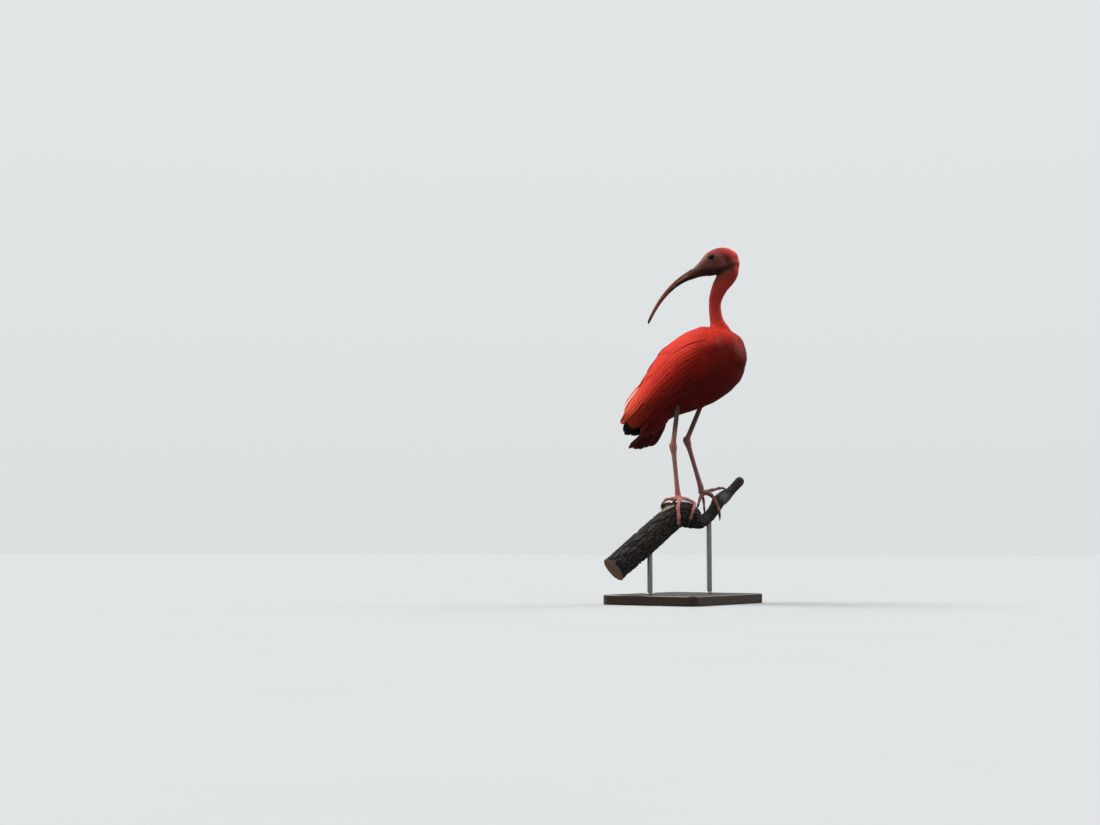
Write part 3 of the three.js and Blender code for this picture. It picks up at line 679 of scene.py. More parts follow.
def loftPart(
    rows, steps, around, depth, power=2.1, sideways=(0, 1, 0), flow=1, carry=None, span=(0, 1), fan=None
):
    read = smoothLine(rows)
    at = np.linspace(*span, steps + 1)
    values = read(at)
    step = 1e-4
    along = unit(read(np.clip(at + step, 0, 1))[:, :3] - read(np.clip(at - step, 0, 1))[:, :3])
    side = np.asarray(sideways, float) - along * (along @ np.asarray(sideways, float))[:, None]
    side = unit(side)
    up = np.cross(side, along)
    turn = 2 * np.pi * np.arange(around) / around
    s, c = np.sin(turn)[None], np.cos(turn)[None]
    keel = values[:, 6:7]
    bend = 2 / np.where(c > 0, power, keel)
    half = np.maximum(values[:, 3:4] - depth, 0.6)
    rise = np.where(c > 0, np.maximum(values[:, 4:5] - depth, 0.6), np.maximum(values[:, 5:6] - depth, 0.6))
    across = np.sign(s) * np.abs(s) ** bend * half
    height = np.sign(c) * np.abs(c) ** bend * rise
    places = values[:, None, :3] + side[:, None] * across[..., None] + up[:, None] * height[..., None]
    slope = np.gradient(places, axis=0)
    lie = unit(slope) * flow
    places, lie = places.reshape(-1, 3), lie.reshape(-1, 3)
    if fan is not None:
        lie = fan(places, lie)
    if carry is not None:
        places = carry(places)
        lie = lie @ headTurn.T
    noteLie(places, lie, np.repeat(values[:, 7], around), np.ones(len(places)))
    return facedOut(meshObject("part", places, ringFaces(steps + 1, around)))


# Feathers fan out from the neck over the breast, and from the bill back over the head.
def breastFan(places, lie):
    weight = np.clip((places[:, :1] + 20) / 60, 0, 1)
    return unit(lie * (1 - weight) + unit(places - [84, 0, 312]) * weight)


def headFan(places, lie):
    x, z = places[:, 0], places[:, 2]
    turned = np.clip((-4 - z) / 14, 0, 1) * np.clip((8 - x) / 10, 0, 1)
    turned = np.maximum(turned, np.clip((-16 - x) / 14, 0, 1))[:, None]
    return unit(unit(places - [36, 0, 4]) * (1 - turned) + np.array([0.58, 0, -1.17]) * turned)


# Wing: a sheet between a top, a middle and a low line, given for the left side.
wingLines = {
    "top": [
        [70, 20, 318], [30, 13, 325], [-41, 9, 295], [-78, 8, 258], [-103, 8, 223], [-133, 8, 181],
        [-145, 11, 151],
    ],
    "middle": [
        [97, 53, 291], [50, 70, 286], [-5, 69, 256], [-52, 57, 216], [-90, 39, 186], [-124, 25, 164],
        [-147, 15, 146],
    ],
    "low": [
        [93, 51, 262], [48, 68, 232], [2, 65, 203], [-38, 54, 184], [-78, 37, 168], [-112, 24, 152],
        [-142, 15, 141],
    ],
}
wingLength = 280


def wingSheet(side):
    top, middle, low = (
        smoothLine(np.array(wingLines[n], float) * [1, side, 1]) for n in ("top", "middle", "low")
    )

    def spot(t, v):
        v = np.atleast_1d(v)[:, None]
        return (2 * (v - 0.5) * (v - 1) * top(t) + 4 * v * (1 - v) * middle(t) + 2 * v * (v - 0.5) * low(t))

    def read(t, v):
        t, v = np.broadcast_arrays(np.asarray(t, float).ravel(), np.asarray(v, float).ravel())
        step = 0.01
        inside = np.clip(t, step, 1)
        here = spot(inside, v)
        along = unit(here - spot(inside - step, v))
        across = spot(inside, np.minimum(1, v + step)) - spot(inside, np.maximum(0, v - step))
        out = unit(np.cross(across, along) * side)
        return here + along * ((t - inside) * wingLength)[:, None], along, out

    return read


wings = {1: wingSheet(1), -1: wingSheet(-1)}


def wingCore(side):
    # The flesh of the folded wing, thick at the wrist and thin to the rear.
    rows, columns = 34, 22
    share, v = np.meshgrid(np.linspace(0, 1, rows), np.linspace(0, 1, columns), indexing="ij")
    rounded = np.minimum(1, 0.35 + 2.6 * np.sqrt(share))
    edge = np.abs(2 * v - 1)
    place, along, out = wings[side](0.8 * share, 0.5 + (v - 0.5) * rounded)
    thick = 7 + (2.8 - 7) * share.ravel()
    dip = 1.5 * edge.ravel() ** 4 + coatDepth["wing"] * np.clip(share.ravel() / 0.25, 0.3, 1)
    outer = place - out * dip[:, None]
    inner = place - out * (thick - 0.6 * dip)[:, None]
    count = rows * columns
    noteLie(outer, along, np.full(count, 11.0), (share.ravel() < 0.24).astype(float))
    noteLie(inner, along, np.full(count, 12.0), np.where(share.ravel() < 0.16, 1.0, 0.15))
    return slab(outer, inner, rows, columns)


def edgesOf(made):
    # Both ends of every edge, and how many edges meet at each vertex.
    ends = np.zeros(len(made.data.edges) * 2, np.int32)
    made.data.edges.foreach_get("vertices", ends)
    a, b = ends.reshape(-1, 2).T
    count = len(made.data.vertices)
    return a, b, np.bincount(a, minlength=count) + np.bincount(b, minlength=count)


def evened(made, values, rounds):
    # Averages values over neighbouring vertices, round by round.
    a, b, met = edgesOf(made)
    around = met + 1
    count = len(met)
    values = np.asarray(values, float).reshape(count, -1)
    for _ in range(rounds):
        values = np.stack(
            [
                column + np.bincount(
                    a, column[b], count
                ) + np.bincount(b, column[a], count) for column in values.T
            ],
            1,
        ) / around[:, None]
    return values


def creasesFilled(made, rounds, where):
    # Skin only swells here: folds between parts fill up and full forms keep their shape.
    places = placesOf(made)
    a, b, met = edgesOf(made)
    around, count = np.maximum(met, 1), len(met)
    weight = where(places)
    for step in range(rounds):
        if step % 8 == 0:  # the normals change slowly, so every eighth round will do
            setPlaces(made, places)
            normals = normalsOf(made)
        mean = np.stack(
            [np.bincount(a, places[b, k], count) + np.bincount(b, places[a, k], count) for k in range(3)],
            1,
        ) / around[:, None]
        rise = np.einsum("ij,ij->i", mean - places, normals)
        places = places + normals * (np.maximum(rise, 0) * weight * fleshWork["fill"])[:, None]
    setPlaces(made, places)


def relaxed(made, rounds, where):
    # Plain smoothing where the weight says so, for corners that stand out of the plumage.
    for _ in range(rounds):
        places = placesOf(made)
        weight = where(places)[:, None]
        setPlaces(made, places + (evened(made, places, 1) - places) * weight)


wrists = np.array([[98, 52, 288], [96, 52, 264], [98, -52, 288], [96, -52, 264]], float)


def nearWrist(places, reach=34):
    away = np.linalg.norm(places[:, None] - wrists[None], axis=2).min(1)
    return np.clip((reach - away) / 10, 0, 1)


def towardBreast(places):
    return np.clip((places[:, 0] + 10) / 60, 0.06, 1) * (places[:, 2] > 175)


def makeSkin():
    depth = coatDepth
    body = [
        loftPart(torsoRows, 60, 72, depth["torso"], fan=breastFan),
        loftPart(neckRows, 44, 44, depth["neck"], power=2, flow=-1, span=(0, 0.5)),
        loftPart(tailBaseRows, 20, 40, depth["tailBase"]),
        loftPart(thighRows["right"], 24, 32, depth["thigh"], power=2),
        loftPart(thighRows["left"], 24, 32, depth["thigh"], power=2), wingCore(1), wingCore(-1),
    ]
    for side in (1, -1):
        body.append(loftPart(flankRows * [1, side, 1, 1, 1, 1, 1, 1], 40, 32, 0, power=2))
        body.append(blob(np.array(wristPlug["middle"]) * [1, side, 1], wristPlug["radii"]))
    body = remeshed(joinedMesh(body, "body"), fleshWork["bodyVoxel"], 6)
    creasesFilled(body, fleshWork["bodyRounds"], towardBreast)
    relaxed(body, fleshWork["relaxRounds"], nearWrist)
    creasesFilled(body, fleshWork["wristRounds"], lambda p: nearWrist(p, 48))
    head = [
        loftPart(
            headRows, 90, 64, depth["head"], sideways=(0, -1, 0), flow=-1, carry=fromHead, fan=headFan
        ),
        loftPart(
            napeRows, 30, 44, depth["head"], sideways=(0, -1, 0), flow=-1, carry=fromHead, fan=headFan
        ),
        loftPart(neckRows, 60, 44, depth["neck"] - 0.1, power=2, flow=-1, span=(0.42, 1)),
    ]
    head = remeshed(joinedMesh(head, "headSkin"), fleshWork["headVoxel"], 5)
    creasesFilled(head, fleshWork["headRounds"], lambda p: np.clip((1 - toHead(p)[:, 0]) / 7, 0, 1))
    # Its lower end narrows into the body's own neck, so that no step shows between them.
    places = placesOf(head)
    low, high = smoothLine(neckRows)([0.42, 0.475])[:, 2]
    share = np.clip((high - places[:, 2]) / (high - low), 0, 1) * (places[:, 2] < high)
    line = smoothLine(neckRows)(np.linspace(0.4, 0.5, 40))
    for axis in (0, 1):
        middle = np.interp(places[:, 2], line[:, 2], line[:, axis])
        places[:, axis] += (middle - places[:, axis]) * fleshWork["neckPull"] * share
    setPlaces(head, places)
    return body, head


body, headSkin = makeSkin()
log("flesh made")


def treeOf(places):
    found = kdtree.KDTree(len(places))
    for i, p in enumerate(places):
        found.insert(p, i)
    found.balance()
    return found


lieRows = np.vstack(lies)
lieTree = treeOf(lieRows[:, :3])


def lieAt(places):
    # Way, length and share of the feathers at places, from the parts that lie nearest.
    values = np.zeros((len(places), 5))
    for k, p in enumerate(places):
        found = lieTree.find_n(p, 6)
        weight = np.array([1 / (0.6 + f[2]) ** 2 for f in found])
        weight /= weight.sum()
        values[k] = weight @ lieRows[[f[1] for f in found], 3:]
    return unit(values[:, :3]), values[:, 3], values[:, 4]


def underWing(places):
    # True where a wing lies over the body, so that nothing needs to grow there.
    hidden = np.zeros(len(places), bool)
    t, v = np.meshgrid(np.linspace(0.05, 0.98, 40), np.linspace(0.04, 0.96, 22), indexing="ij")
    for side, sheet in wings.items():
        spots, _, out = sheet(t, v)
        found = treeOf(spots)
        for k, p in enumerate(places):
            if p[1] * side < -3 or p[0] > 76:
                continue
            spot, i, distance = found.find(p)
            rise = float(np.dot(np.array(spot) - p, out[i]))
            beside = math.sqrt(max(distance * distance - rise * rise, 0))
            if distance < 16 and rise > 2.6 and beside < 4.5:
                hidden[k] = True
    return hidden


# Face.
face = {
    "eye": (10.8, 13.3, 12.5),
    "eyeRadius": 5.2,
    "gaze": (0.16, 0.12),  # how far the eyes look forward and up
    "jawLine": [(50, -8), (34, -8), (18, -13), (2, -19), (-9, -18), (-15, -12), (-17, -5)],
    "bareLine": [
        (40, 15.0), (30, 15.5), (20, 17.2), (10, 18.0), (3, 14.5), (-2, 8), (-3, 0), (1, -8), (6, -16),
        (9, -26),
    ],
}


def bareShare(local):
    # 1 on the bare face, 0 where feathers grow: ahead of a line that bends round the eye.
    line = face["bareLine"]
    x, z = local[:, 0], local[:, 2]
    zs = np.array([p[1] for p in line][4:])
    xs = np.array([p[0] for p in line][4:])
    rear = np.interp(-z, -zs, xs)
    top = np.interp(x, [p[0] for p in line][::-1][5:], [p[1] for p in line][::-1][5:])
    ahead = np.clip((x - rear) / 8 + 0.5, 0, 1)
    under = np.clip((top - z) / 4.5 + 0.5, 0, 1)
    above = np.clip((z + 25) / 3, 0, 1)
    return ahead * under * above


def shapeHead(made):
    # Folds, wrinkles, the eye's hollow and the line of the mouth on the head's skin.
    places = placesOf(made)
    normals = normalsOf(made)
    local = toHead(places)
    x, y, z = local.T
    bare = bareShare(local)
    eye = np.array(face["eye"])
    toEye = np.stack([x - eye[0], np.abs(y) - eye[1], z - eye[2]], 1)
    flat = np.sqrt((toEye[:, 0] / 1.12) ** 2 + toEye[:, 2] ** 2)
    near = np.abs(y) > 7
    lift = 0.75 * bare
    lift += near * bare * 0.28 * np.sin(flat * 2.6) * np.exp(-((flat - 8) / 3.2) ** 2)
    lift += near * -2.4 * np.exp(-(flat / 4.6) ** 4)
    lift += near * 0.7 * np.exp(-((flat - 6.9) / 1.5) ** 2)
    brow = near * np.exp(-((z - 19.3) / 2.4) ** 2) * np.exp(-((x - 12) / 9) ** 2)
    lift += 0.6 * brow
    mouth = -1.9 - (47.5 - x) * 0.087
    groove = np.exp(-((z - mouth) / 0.55) ** 2) * np.clip((x - 27) / 4, 0, 1)
    lift -= 1.5 * groove * (np.abs(y) > 3)
    wrinkle = np.sin((z * 1.5 + x * 0.8) + 1.4 * roughField(local, 7, 2)) * 0.5
    chin = np.clip((-4 - z) / 6, 0, 1) * bare
    lift += chin * wrinkle * 0.45
    lore = np.clip((x - 18) / 8, 0, 1) * bare
    lift += lore * 0.22 * np.sin(x * 1.9 + 1.2 * roughField(local, 5, 3))
    lift += bare * 0.22 * roughField(local, 3.0, 5)
    ear = near * np.exp(-((x + 11) / 4.5) ** 2 - ((z - 1) / 4.0) ** 2)
    lift -= 1.0 * ear
    setPlaces(made, places + normals * lift[:, None])
    jaw = np.array(face["jawLine"], float)
    toJaw = np.full(len(x), 99.0)
    for (ax, az), (bx, bz) in zip(jaw[:-1], jaw[1:]):
        run = np.clip(
            ((x - ax) * (bx - ax) + (z - az) * (bz - az)) / ((bx - ax) ** 2 + (bz - az) ** 2), 0, 1
        )
        toJaw = np.minimum(toJaw, np.hypot(x - ax - run * (bx - ax), z - az - run * (bz - az)))
    # Dark shades: along the jaw, in the ear, in the mouth, round the eye and before it.
    dusk = 0.95 * np.exp(-(toJaw / 8.0) ** 4) * np.clip((z + 28) / 5, 0, 1)
    dusk = np.maximum(dusk, 0.6 * ear)
    dusk = np.maximum(dusk, 0.85 * groove)
    almond = np.hypot(toEye[:, 0] / 1.5, toEye[:, 2] / 0.95)
    dusk = np.maximum(dusk, near * 0.92 * np.exp(-(almond / 4.7) ** 4))
    slit = np.exp(-((z - eye[2] + 0.42 * (x - eye[0])) / 1.5) ** 2)
    slit = slit * np.clip((x - 12) / 3, 0, 1) * np.clip((23 - x) / 5, 0, 1)
    dusk = np.maximum(dusk, near * 0.75 * slit)
    dusk = np.maximum(dusk, 0.55 * np.exp(-((x - 33) / 1.6) ** 2) * (z < 8))
    dusk += 0.12 * roughField(local, 4.0, 9)
    loreMask = np.clip((x - 22) / 14, 0, 1) * np.clip((z + 4) / 8, 0, 1) * 0.8
    for name, values in (("bare", bare), ("dusk", np.clip(dusk, 0, 1)), ("lore", loreMask)):
        attribute(made, name, values)
    return bare


def eyelids(side):
    # Upper and lower lid as one fold round an almond opening, on a ball just over the eye.
    rings, around = 15, 56
    radius = face["eyeRadius"]
    centre = np.array(face["eye"]) * [1, side, 1]
    out = unit(np.array([face["gaze"][0], side, face["gaze"][1]]))
    forward = unit(np.array([1, 0, 0.05]) - out * out[0])
    up = unit(np.cross(out, forward)) * side
    up = up if up[2] > 0 else -up
    turn = 2 * np.pi * np.arange(around) / around
    opening = np.radians(40 + 19 * np.abs(np.cos(turn)) ** 2.2 - 3 * np.clip(np.sin(turn), 0, 1))
    places = []

    def ringAt(angles, reaches):
        for a, t, r in zip(angles, turn, reaches * np.ones(around)):
            way = out * math.cos(a) + (forward * math.cos(t) + up * math.sin(t)) * math.sin(a)
            places.append(centre + way * r)

    ringAt(opening, radius - 0.5)
    for k in range(rings):
        share = k / (rings - 1)
        angle = opening + (math.radians(98) - opening) * share
        crease = 0.30 * np.sin(share * 17) * np.exp(-((share - 0.4) / 0.25) ** 2)
        fold = 0.38 * np.exp(-((share - 0.10) / 0.10) ** 2) + crease
        ringAt(angle, radius + 0.28 + fold + 0.9 * share)
    return facedOut(meshObject("lids", fromHead(places), ringFaces(rings + 1, around, False, False)))


headBare = shapeHead(headSkin)
lids = [eyelids(1), eyelids(-1)]
for lid in lids:
    count = len(lid.data.vertices)
    attribute(lid, "bare", np.ones(count))
    attribute(lid, "dusk", np.full(count, 0.9))
    attribute(lid, "lore", np.zeros(count))
log("face shaped")

collarHeight = smoothLine(neckRows)(0.455)[0, 2]  # here the head's own skin takes over
for name in ("bare", "dusk", "lore"):
    attribute(body, name, np.zeros(len(body.data.vertices)))

for made in (body, headSkin):
    places = placesOf(made)
    ways, lengths, shares = lieAt(places)
    if made is body:
        hidden = underWing(places)
        inside = np.linalg.norm((toHead(places) - [-4, 0, 0]) / [34, 19, 24], axis=1) < 0.93
        collar = (places[:, 2] > collarHeight + 0.6) & (places[:, 0] > 30)
        shares = np.where(hidden | inside | collar, 0, shares)
    else:
        local = toHead(places)
        growing = (local[:, 0] < 39) | (local[:, 2] < -28)
        shares = growing * (1 - headBare) * (places[:, 2] > collarHeight - 0.6)
    ways, lengths = unit(evened(made, ways, 24)), evened(made, lengths, 24)[:, 0]
    attribute(made, "lie", ways)
    attribute(made, "length", lengths * 0.001)
    attribute(made, "share", np.clip(shares, 0, 1))
log("lie of the coat set")

pieces = [body, headSkin, *lids]
bpy.ops.object.select_all(action="DESELECT")
for made in pieces:
    made.select_set(True)
    for name, value in (("lie", (1, 0, 0)), ("length", 0.004), ("share", 0.0)):
        if name not in made.data.attributes:
            attribute(made, name, np.tile(value, (len(made.data.vertices), 1)))
bpy.context.view_layer.objects.active = body
bpy.ops.object.join()
skin = body
skin.name = "skin"
bpy.ops.object.mode_set(mode="EDIT")
bpy.ops.mesh.select_all(action="SELECT")
bpy.ops.uv.smart_project(angle_limit=math.radians(70), island_margin=0.002)
bpy.ops.object.mode_set(mode="OBJECT")
skin.data.uv_layers[0].name = "OFBake"
skin.data.materials.clear()
skin.data.materials.append(skinPaint)
shadeSmooth(skin)
log("skin unwrapped")


# Feathers over the skin.
def featherShape(name, stations, width, arch, thick, taper):
    # One vane of unit length along +Y: closed, arched across, with its own across and along.
    places, own = [], []
    for k in range(stations):
        share = k / (stations - 1)
        wide = width / 2 * (0.25 + 0.75 * min(1, share / taper) ** 0.7)
        if share > 0.6:
            wide *= math.sqrt(max(0.0, 1 - ((share - 0.6) / 0.4) ** 2.4)) + 0.02
        slim = thick * (1 - 0.6 * share)
        for across, lift in ((-1, 0), (0, 1), (1, 0), (0, -0.2)):
            top = arch * (1 - across * across)
            places.append((across * wide, share, top * (wide / width) + slim * lift))
            own.append((across, share, max(lift, 0)))
    made = meshObject(name, np.array(places), ringFaces(stations, 4), inFrame=True)
    facedOut(made)
    attribute(made, "own", own)
    return made


def named(name, kind="FLOAT"):
    return put("GeometryNodeInputNamedAttribute", {"Name": name}, data_type=kind).outputs["Attribute"]


def storing(geometry, name, value, kind="FLOAT", domain="POINT"):
    inputs = {"Geometry": geometry, "Name": name, "Value": value}
    return node("GeometryNodeStoreNamedAttribute", inputs, data_type=kind, domain=domain)


def nearest(mesh, value, place):
    inputs = {"Mesh": mesh, "Value": value, "Sample Position": place}
    return put("GeometryNodeSampleNearestSurface", inputs, data_type="FLOAT_VECTOR").outputs["Value"]


def painted(geometry, source, sink):
    join(
        node("GeometryNodeSetMaterial", {"Geometry": geometry, "Material": source["Material"]}),
        sink["Geometry"],
    )


def crispRims(geometry):
    # Smooth over the vane, sharp along its thin rim, so that feathers shade as flat sheets.
    bend = put("GeometryNodeInputMeshEdgeAngle").outputs["Unsigned Angle"]
    smooth = node("GeometryNodeSetShadeSmooth", {"Geometry": geometry, "Shade Smooth": True}, domain="FACE")
    sharp = {"Geometry": smooth, "Selection": maths("GREATER_THAN", bend, 0.9), "Shade Smooth": False}
    return node("GeometryNodeSetShadeSmooth", sharp, domain="EDGE")


def chance(low, high, seed):
    return put("FunctionNodeRandomValue", {2: low, 3: high, "Seed": seed}, data_type="FLOAT").outputs[1]


def coatTree():
    # Scatters feathers over a skin, turns them to its lie and lays them along it.
    tree, source, sink = nodeGroup(
        "GeometryNodeTree", "coat of feathers",
        [
            ("Geometry", "Geometry", None), ("Feather", "Object", None), ("Material", "Material", None),
            ("Spacing", "Float", 0.005), ("Density", "Float", 30000.0), ("Shortest", "Float", 0.0),
            ("Longest", "Float", 1.0), ("Width", "Float", 0.6), ("Lift", "Float", 0.002),
            ("Sink", "Float", 0.0004), ("Spread", "Float", 0.2), ("Seed", "Int", 7),
        ],
        [("Geometry", "Geometry", None)],
    )
    lift, length = source["Lift"], named("length")
    fits = times(
        maths("GREATER_THAN", length, source["Shortest"]), maths("LESS_THAN", length, source["Longest"])
    )
    inputs = {
        "Mesh": source["Geometry"], "Distance Min": source["Spacing"], "Density Max": source["Density"],
        "Density Factor": times(named("share"), fits), "Seed": source["Seed"],
    }
    spread = put("GeometryNodeDistributePointsOnFaces", inputs, distribute_method="POISSON").outputs
    jitter = node(
        "FunctionNodeRandomValue", {0: (-1, -1, -1), 1: (1, 1, 1), "Seed": 3}, data_type="FLOAT_VECTOR"
    )
    lie = vectors("ADD", named("lie", "FLOAT_VECTOR"), vectors("SCALE", jitter, scale=source["Spread"]))
    ways = {"Primary Axis": spread["Normal"], "Secondary Axis": lie}
    facing = node("FunctionNodeAxesToRotation", ways, primary_axis="Z", secondary_axis="Y")
    reach = times(length, chance(0.82, 1.18, 5))
    size = merged(times(reach, source["Width"]), reach, reach)
    points = storing(spread["Points"], "tone", chance(0.0, 1.0, 9))
    points = storing(points, "poise", chance(0.86, 1.06, 11))
    points = storing(points, "spot", named("OFBake", "FLOAT_VECTOR"), "FLOAT_VECTOR")
    vane = put("GeometryNodeObjectInfo", {"Object": source["Feather"]}).outputs["Geometry"]
    inputs = {"Points": points, "Instance": vane, "Rotation": facing, "Scale": size}
    real = node("GeometryNodeRealizeInstances", {"Geometry": node("GeometryNodeInstanceOnPoints", inputs)})
    # The copies are laid along the skin: each point over the place of the skin nearest to it.
    own, here = named("own", "FLOAT_VECTOR"), node("GeometryNodeInputPosition")
    parts = parted(own)
    under = nearest(source["Geometry"], node("GeometryNodeInputPosition"), here)
    normal = nearest(source["Geometry"], node("GeometryNodeInputNormal"), here)
    rise = times(maths("POWER", parts["Y"], 0.8), times(lift, named("poise")))
    arch = less(1.0, maths("POWER", absolute(parts["X"]), 2.0))
    bulge = times(times(arch, parts["Z"]), times(lift, 0.16))
    height = plus(less(rise, source["Sink"]), bulge)
    laid = vectors("ADD", under, vectors("SCALE", vectors("NORMALIZE", normal), scale=height))
    moved = node("GeometryNodeSetPosition", {"Geometry": real, "Position": laid})
    patch = vectors("SCALE", vectors("MULTIPLY", own, (0.5, 1, 0)), scale=0.003)
    spot = vectors("ADD", named("spot", "FLOAT_VECTOR"), patch)
    painted(crispRims(storing(moved, "OFBake", spot, "FLOAT2", "CORNER")), source, sink)
    return tree


coats = [
    # piece, slot, feather (stations, width, arch, thick, taper), paint, settings
    (
        "breast_feathers", "body_feathers", (6, 1.0, 0.06, 0.016, 0.4), smallPaint,
        {
            "Spacing": 0.0027, "Density": 400000.0, "Shortest": 0.0102, "Longest": 0.0150,
            "Width": 0.38, "Lift": 0.0009, "Spread": 0.08, "Seed": 7,
        },
    ),
    (
        "flank_feathers", "body_feathers", (6, 1.0, 0.06, 0.016, 0.4), smallPaint,
        {
            "Spacing": 0.0029, "Density": 400000.0, "Shortest": 0.0150, "Longest": 0.1,
            "Width": 0.36, "Lift": 0.0012, "Spread": 0.08, "Seed": 8,
        },
    ),
    (
        "neck_feathers", "neck_feathers", (6, 1.0, 0.08, 0.02, 0.3), softPaint,
        {
            "Spacing": 0.0019, "Density": 600000.0, "Shortest": 0.0053, "Longest": 0.0102,
            "Width": 0.32, "Lift": 0.0008, "Spread": 0.12, "Seed": 11,
        },
    ),
    (
        "head_feathers", "face_skin", (5, 1.0, 0.08, 0.02, 0.3), softPaint,
        {
            "Spacing": 0.00125, "Density": 900000.0, "Shortest": 0.0, "Longest": 0.0053,
            "Width": 0.34, "Lift": 0.0006, "Spread": 0.14, "Seed": 13,
        },
    ),
]
coat = coatTree()
for name, slotName, shape, paint, settings in coats:
    vaneObject = featherShape(name + "Shape", *shape)
    carrier = linked(name, skin.data.copy())
    grown = growOn(carrier, coat, {**settings, "Feather": vaneObject, "Material": paint}, name)
    bpy.data.objects.remove(vaneObject)
    finished(grown, slotName)


# Long vanes of wings and tail.
def vaneTree():
    # A vane along each shaft line, as wide as its half attribute says and facing its face way.
    tree, source, sink = nodeGroup(
        "GeometryNodeTree", "vanes on shafts",
        [
            ("Geometry", "Geometry", None), ("Profile", "Object", None), ("Skin", "Object", None),
            ("Material", "Material", None),
        ],
        [("Geometry", "Geometry", None)],
    )

    def meshOf(label):
        return put("GeometryNodeObjectInfo", {"Object": source[label]}).outputs["Geometry"]

    shafts = node("GeometryNodeMeshToCurve", {0: source["Geometry"]})
    ways = {"Curve": shafts, "Normal": named("facing", "FLOAT_VECTOR")}
    shafts = node("GeometryNodeSetCurveNormal", ways, mode="FREE")
    shafts = node("GeometryNodeSetCurveRadius", {"Curve": shafts, "Radius": named("half")})
    edge = node("GeometryNodeMeshToCurve", {0: meshOf("Profile")})
    vanes = put("GeometryNodeCurveToMesh", {"Curve": shafts, "Profile Curve": edge, "Fill Caps": True})
    if "Scale" in vanes.inputs:
        join(named("half"), vanes.inputs["Scale"])
    spot = nearest(meshOf("Skin"), named("OFBake", "FLOAT_VECTOR"), named("root", "FLOAT_VECTOR"))
    own = merged(named("cross"), named("along"))
    geometry = storing(vanes.outputs[0], "own", own, "FLOAT_VECTOR")
    place = vectors("ADD", spot, vectors("MULTIPLY", own, (0.0015, 0.003, 0.0)))
    painted(crispRims(storing(geometry, "OFBake", place, "FLOAT2", "CORNER")), source, sink)
    return tree


def vaneProfile():
    # A thin lens, arched over the shaft, of half width 1.
    spots = [
        (-1, -0.025), (-0.6, 0.024), (-0.05, 0.044), (0, 0.056), (0.05, 0.044), (0.6, 0.024), (1, -0.025),
        (0.6, 0.002), (0, 0.018), (-0.6, 0.002),
    ]
    places = [(rise - 0.02, across, 0) for across, rise in spots]
    edges = [(i, (i + 1) % len(spots)) for i in range(len(spots))]
    made = meshObject("vaneProfile", places, [], smooth=False, inFrame=True, edges=edges)
    attribute(made, "cross", [across for across, _ in spots])
    return made


vaneShares = 1 - (1 - np.linspace(0, 1, 17)) ** 1.7  # stations along a vane, denser at its tip


class Shafts:
    # Gathers shaft lines with their widths, ways and tones before one tree makes them vanes.

    def __init__(self):
        self.places, self.edges, self.values = [], [], {}

    def add(self, places, facing, half, tone, black=0.0, glow=0.0):
        start, count = len(self.places), len(places)
        self.places.extend(toFrame(places))
        self.edges.extend((start + i, start + i + 1) for i in range(count - 1))
        rows = {
            "facing": facing, "half": np.asarray(half) * 0.001, "along": vaneShares, "tone": [tone] * count,
            "black": [black] * count, "glow": [glow] * count, "root": [toFrame(places[:1])[0]] * count,
        }
        for key, row in rows.items():
            self.values.setdefault(key, []).extend(row)

    def make(self, name, paint):
        made = meshObject(name, self.places, [], smooth=False, inFrame=True, edges=self.edges)
        for key, values in self.values.items():
            attribute(made, key, values)
        return facedOut(growOn(made, vanes, {"Profile": profile, "Skin": skin, "Material": paint}, name))


def vaneHalf(width, length, start=0.3, taper=0.3, power=2.2):
    # Half widths along a vane whose round tip is about as long as it is wide.
    half = width / 2 * (start + (1 - start) * np.clip(vaneShares / taper, 0, 1) ** 0.7)
    tipFrom = max(0.5, 1 - 1.15 * width / length)
    end = np.clip((vaneShares - tipFrom) / (1 - tipFrom), 0, 1)
    return half * np.maximum((1 - end ** power) ** 0.6, 0.06)


# Each tier: how many feathers, the first and last one's root, tip and place across the wing,
# how far they stand off it in mm, and their width over their spacing.
wingTiers = {
    "secondaries": (9, (0.42, 0.50), (0.99, 0.80), (0.14, 0.97), 1.2, 2.0),
    "tertials": (4, (0.34, 0.42), (1.0, 0.95), (0.10, 0.52), 2.4, 2.4),
    "greaterCoverts": (10, (0.26, 0.31), (0.68, 0.57), (0.12, 0.96), 2.3, 2.0),
    "medianCoverts": (11, (0.17, 0.20), (0.50, 0.43), (0.12, 0.95), 2.7, 2.0),
    "lesserCoverts": (13, (0.09, 0.11), (0.35, 0.31), (0.12, 0.94), 2.8, 2.0),
    "lowerScapulars": (5, (0.14, 0.19), (0.62, 0.47), (0.05, 0.36), 3.2, 2.2),
    "upperScapulars": (7, (0.04, 0.08), (0.42, 0.31), (0.04, 0.40), 3.4, 2.0),
}
# Primaries come out from under the folded wing: root on the sheet, then the tip, left side.
primaries = [
    ((0.66, 0.72), (-141, 12.5, 136)), ((0.63, 0.82), (-138.5, 12, 129.5)),
    ((0.60, 0.88), (-133, 11.5, 128.5)), ((0.58, 0.94), (-126.5, 11, 129.5)),
    ((0.55, 0.98), (-119, 11, 133)), ((0.52, 0.98), (-108, 12, 139)),
]
looseFeather = {"root": (0.60, 0.02), "tip": (-143, 8, 187), "width": 5.5, "length": 18}
vaneSize = {
    "tilt": 2.0, "sink": 1.1, "rise": 1.7, "primary": 15, "primaryLength": 60, "black": 0.30, "seed": 21
}


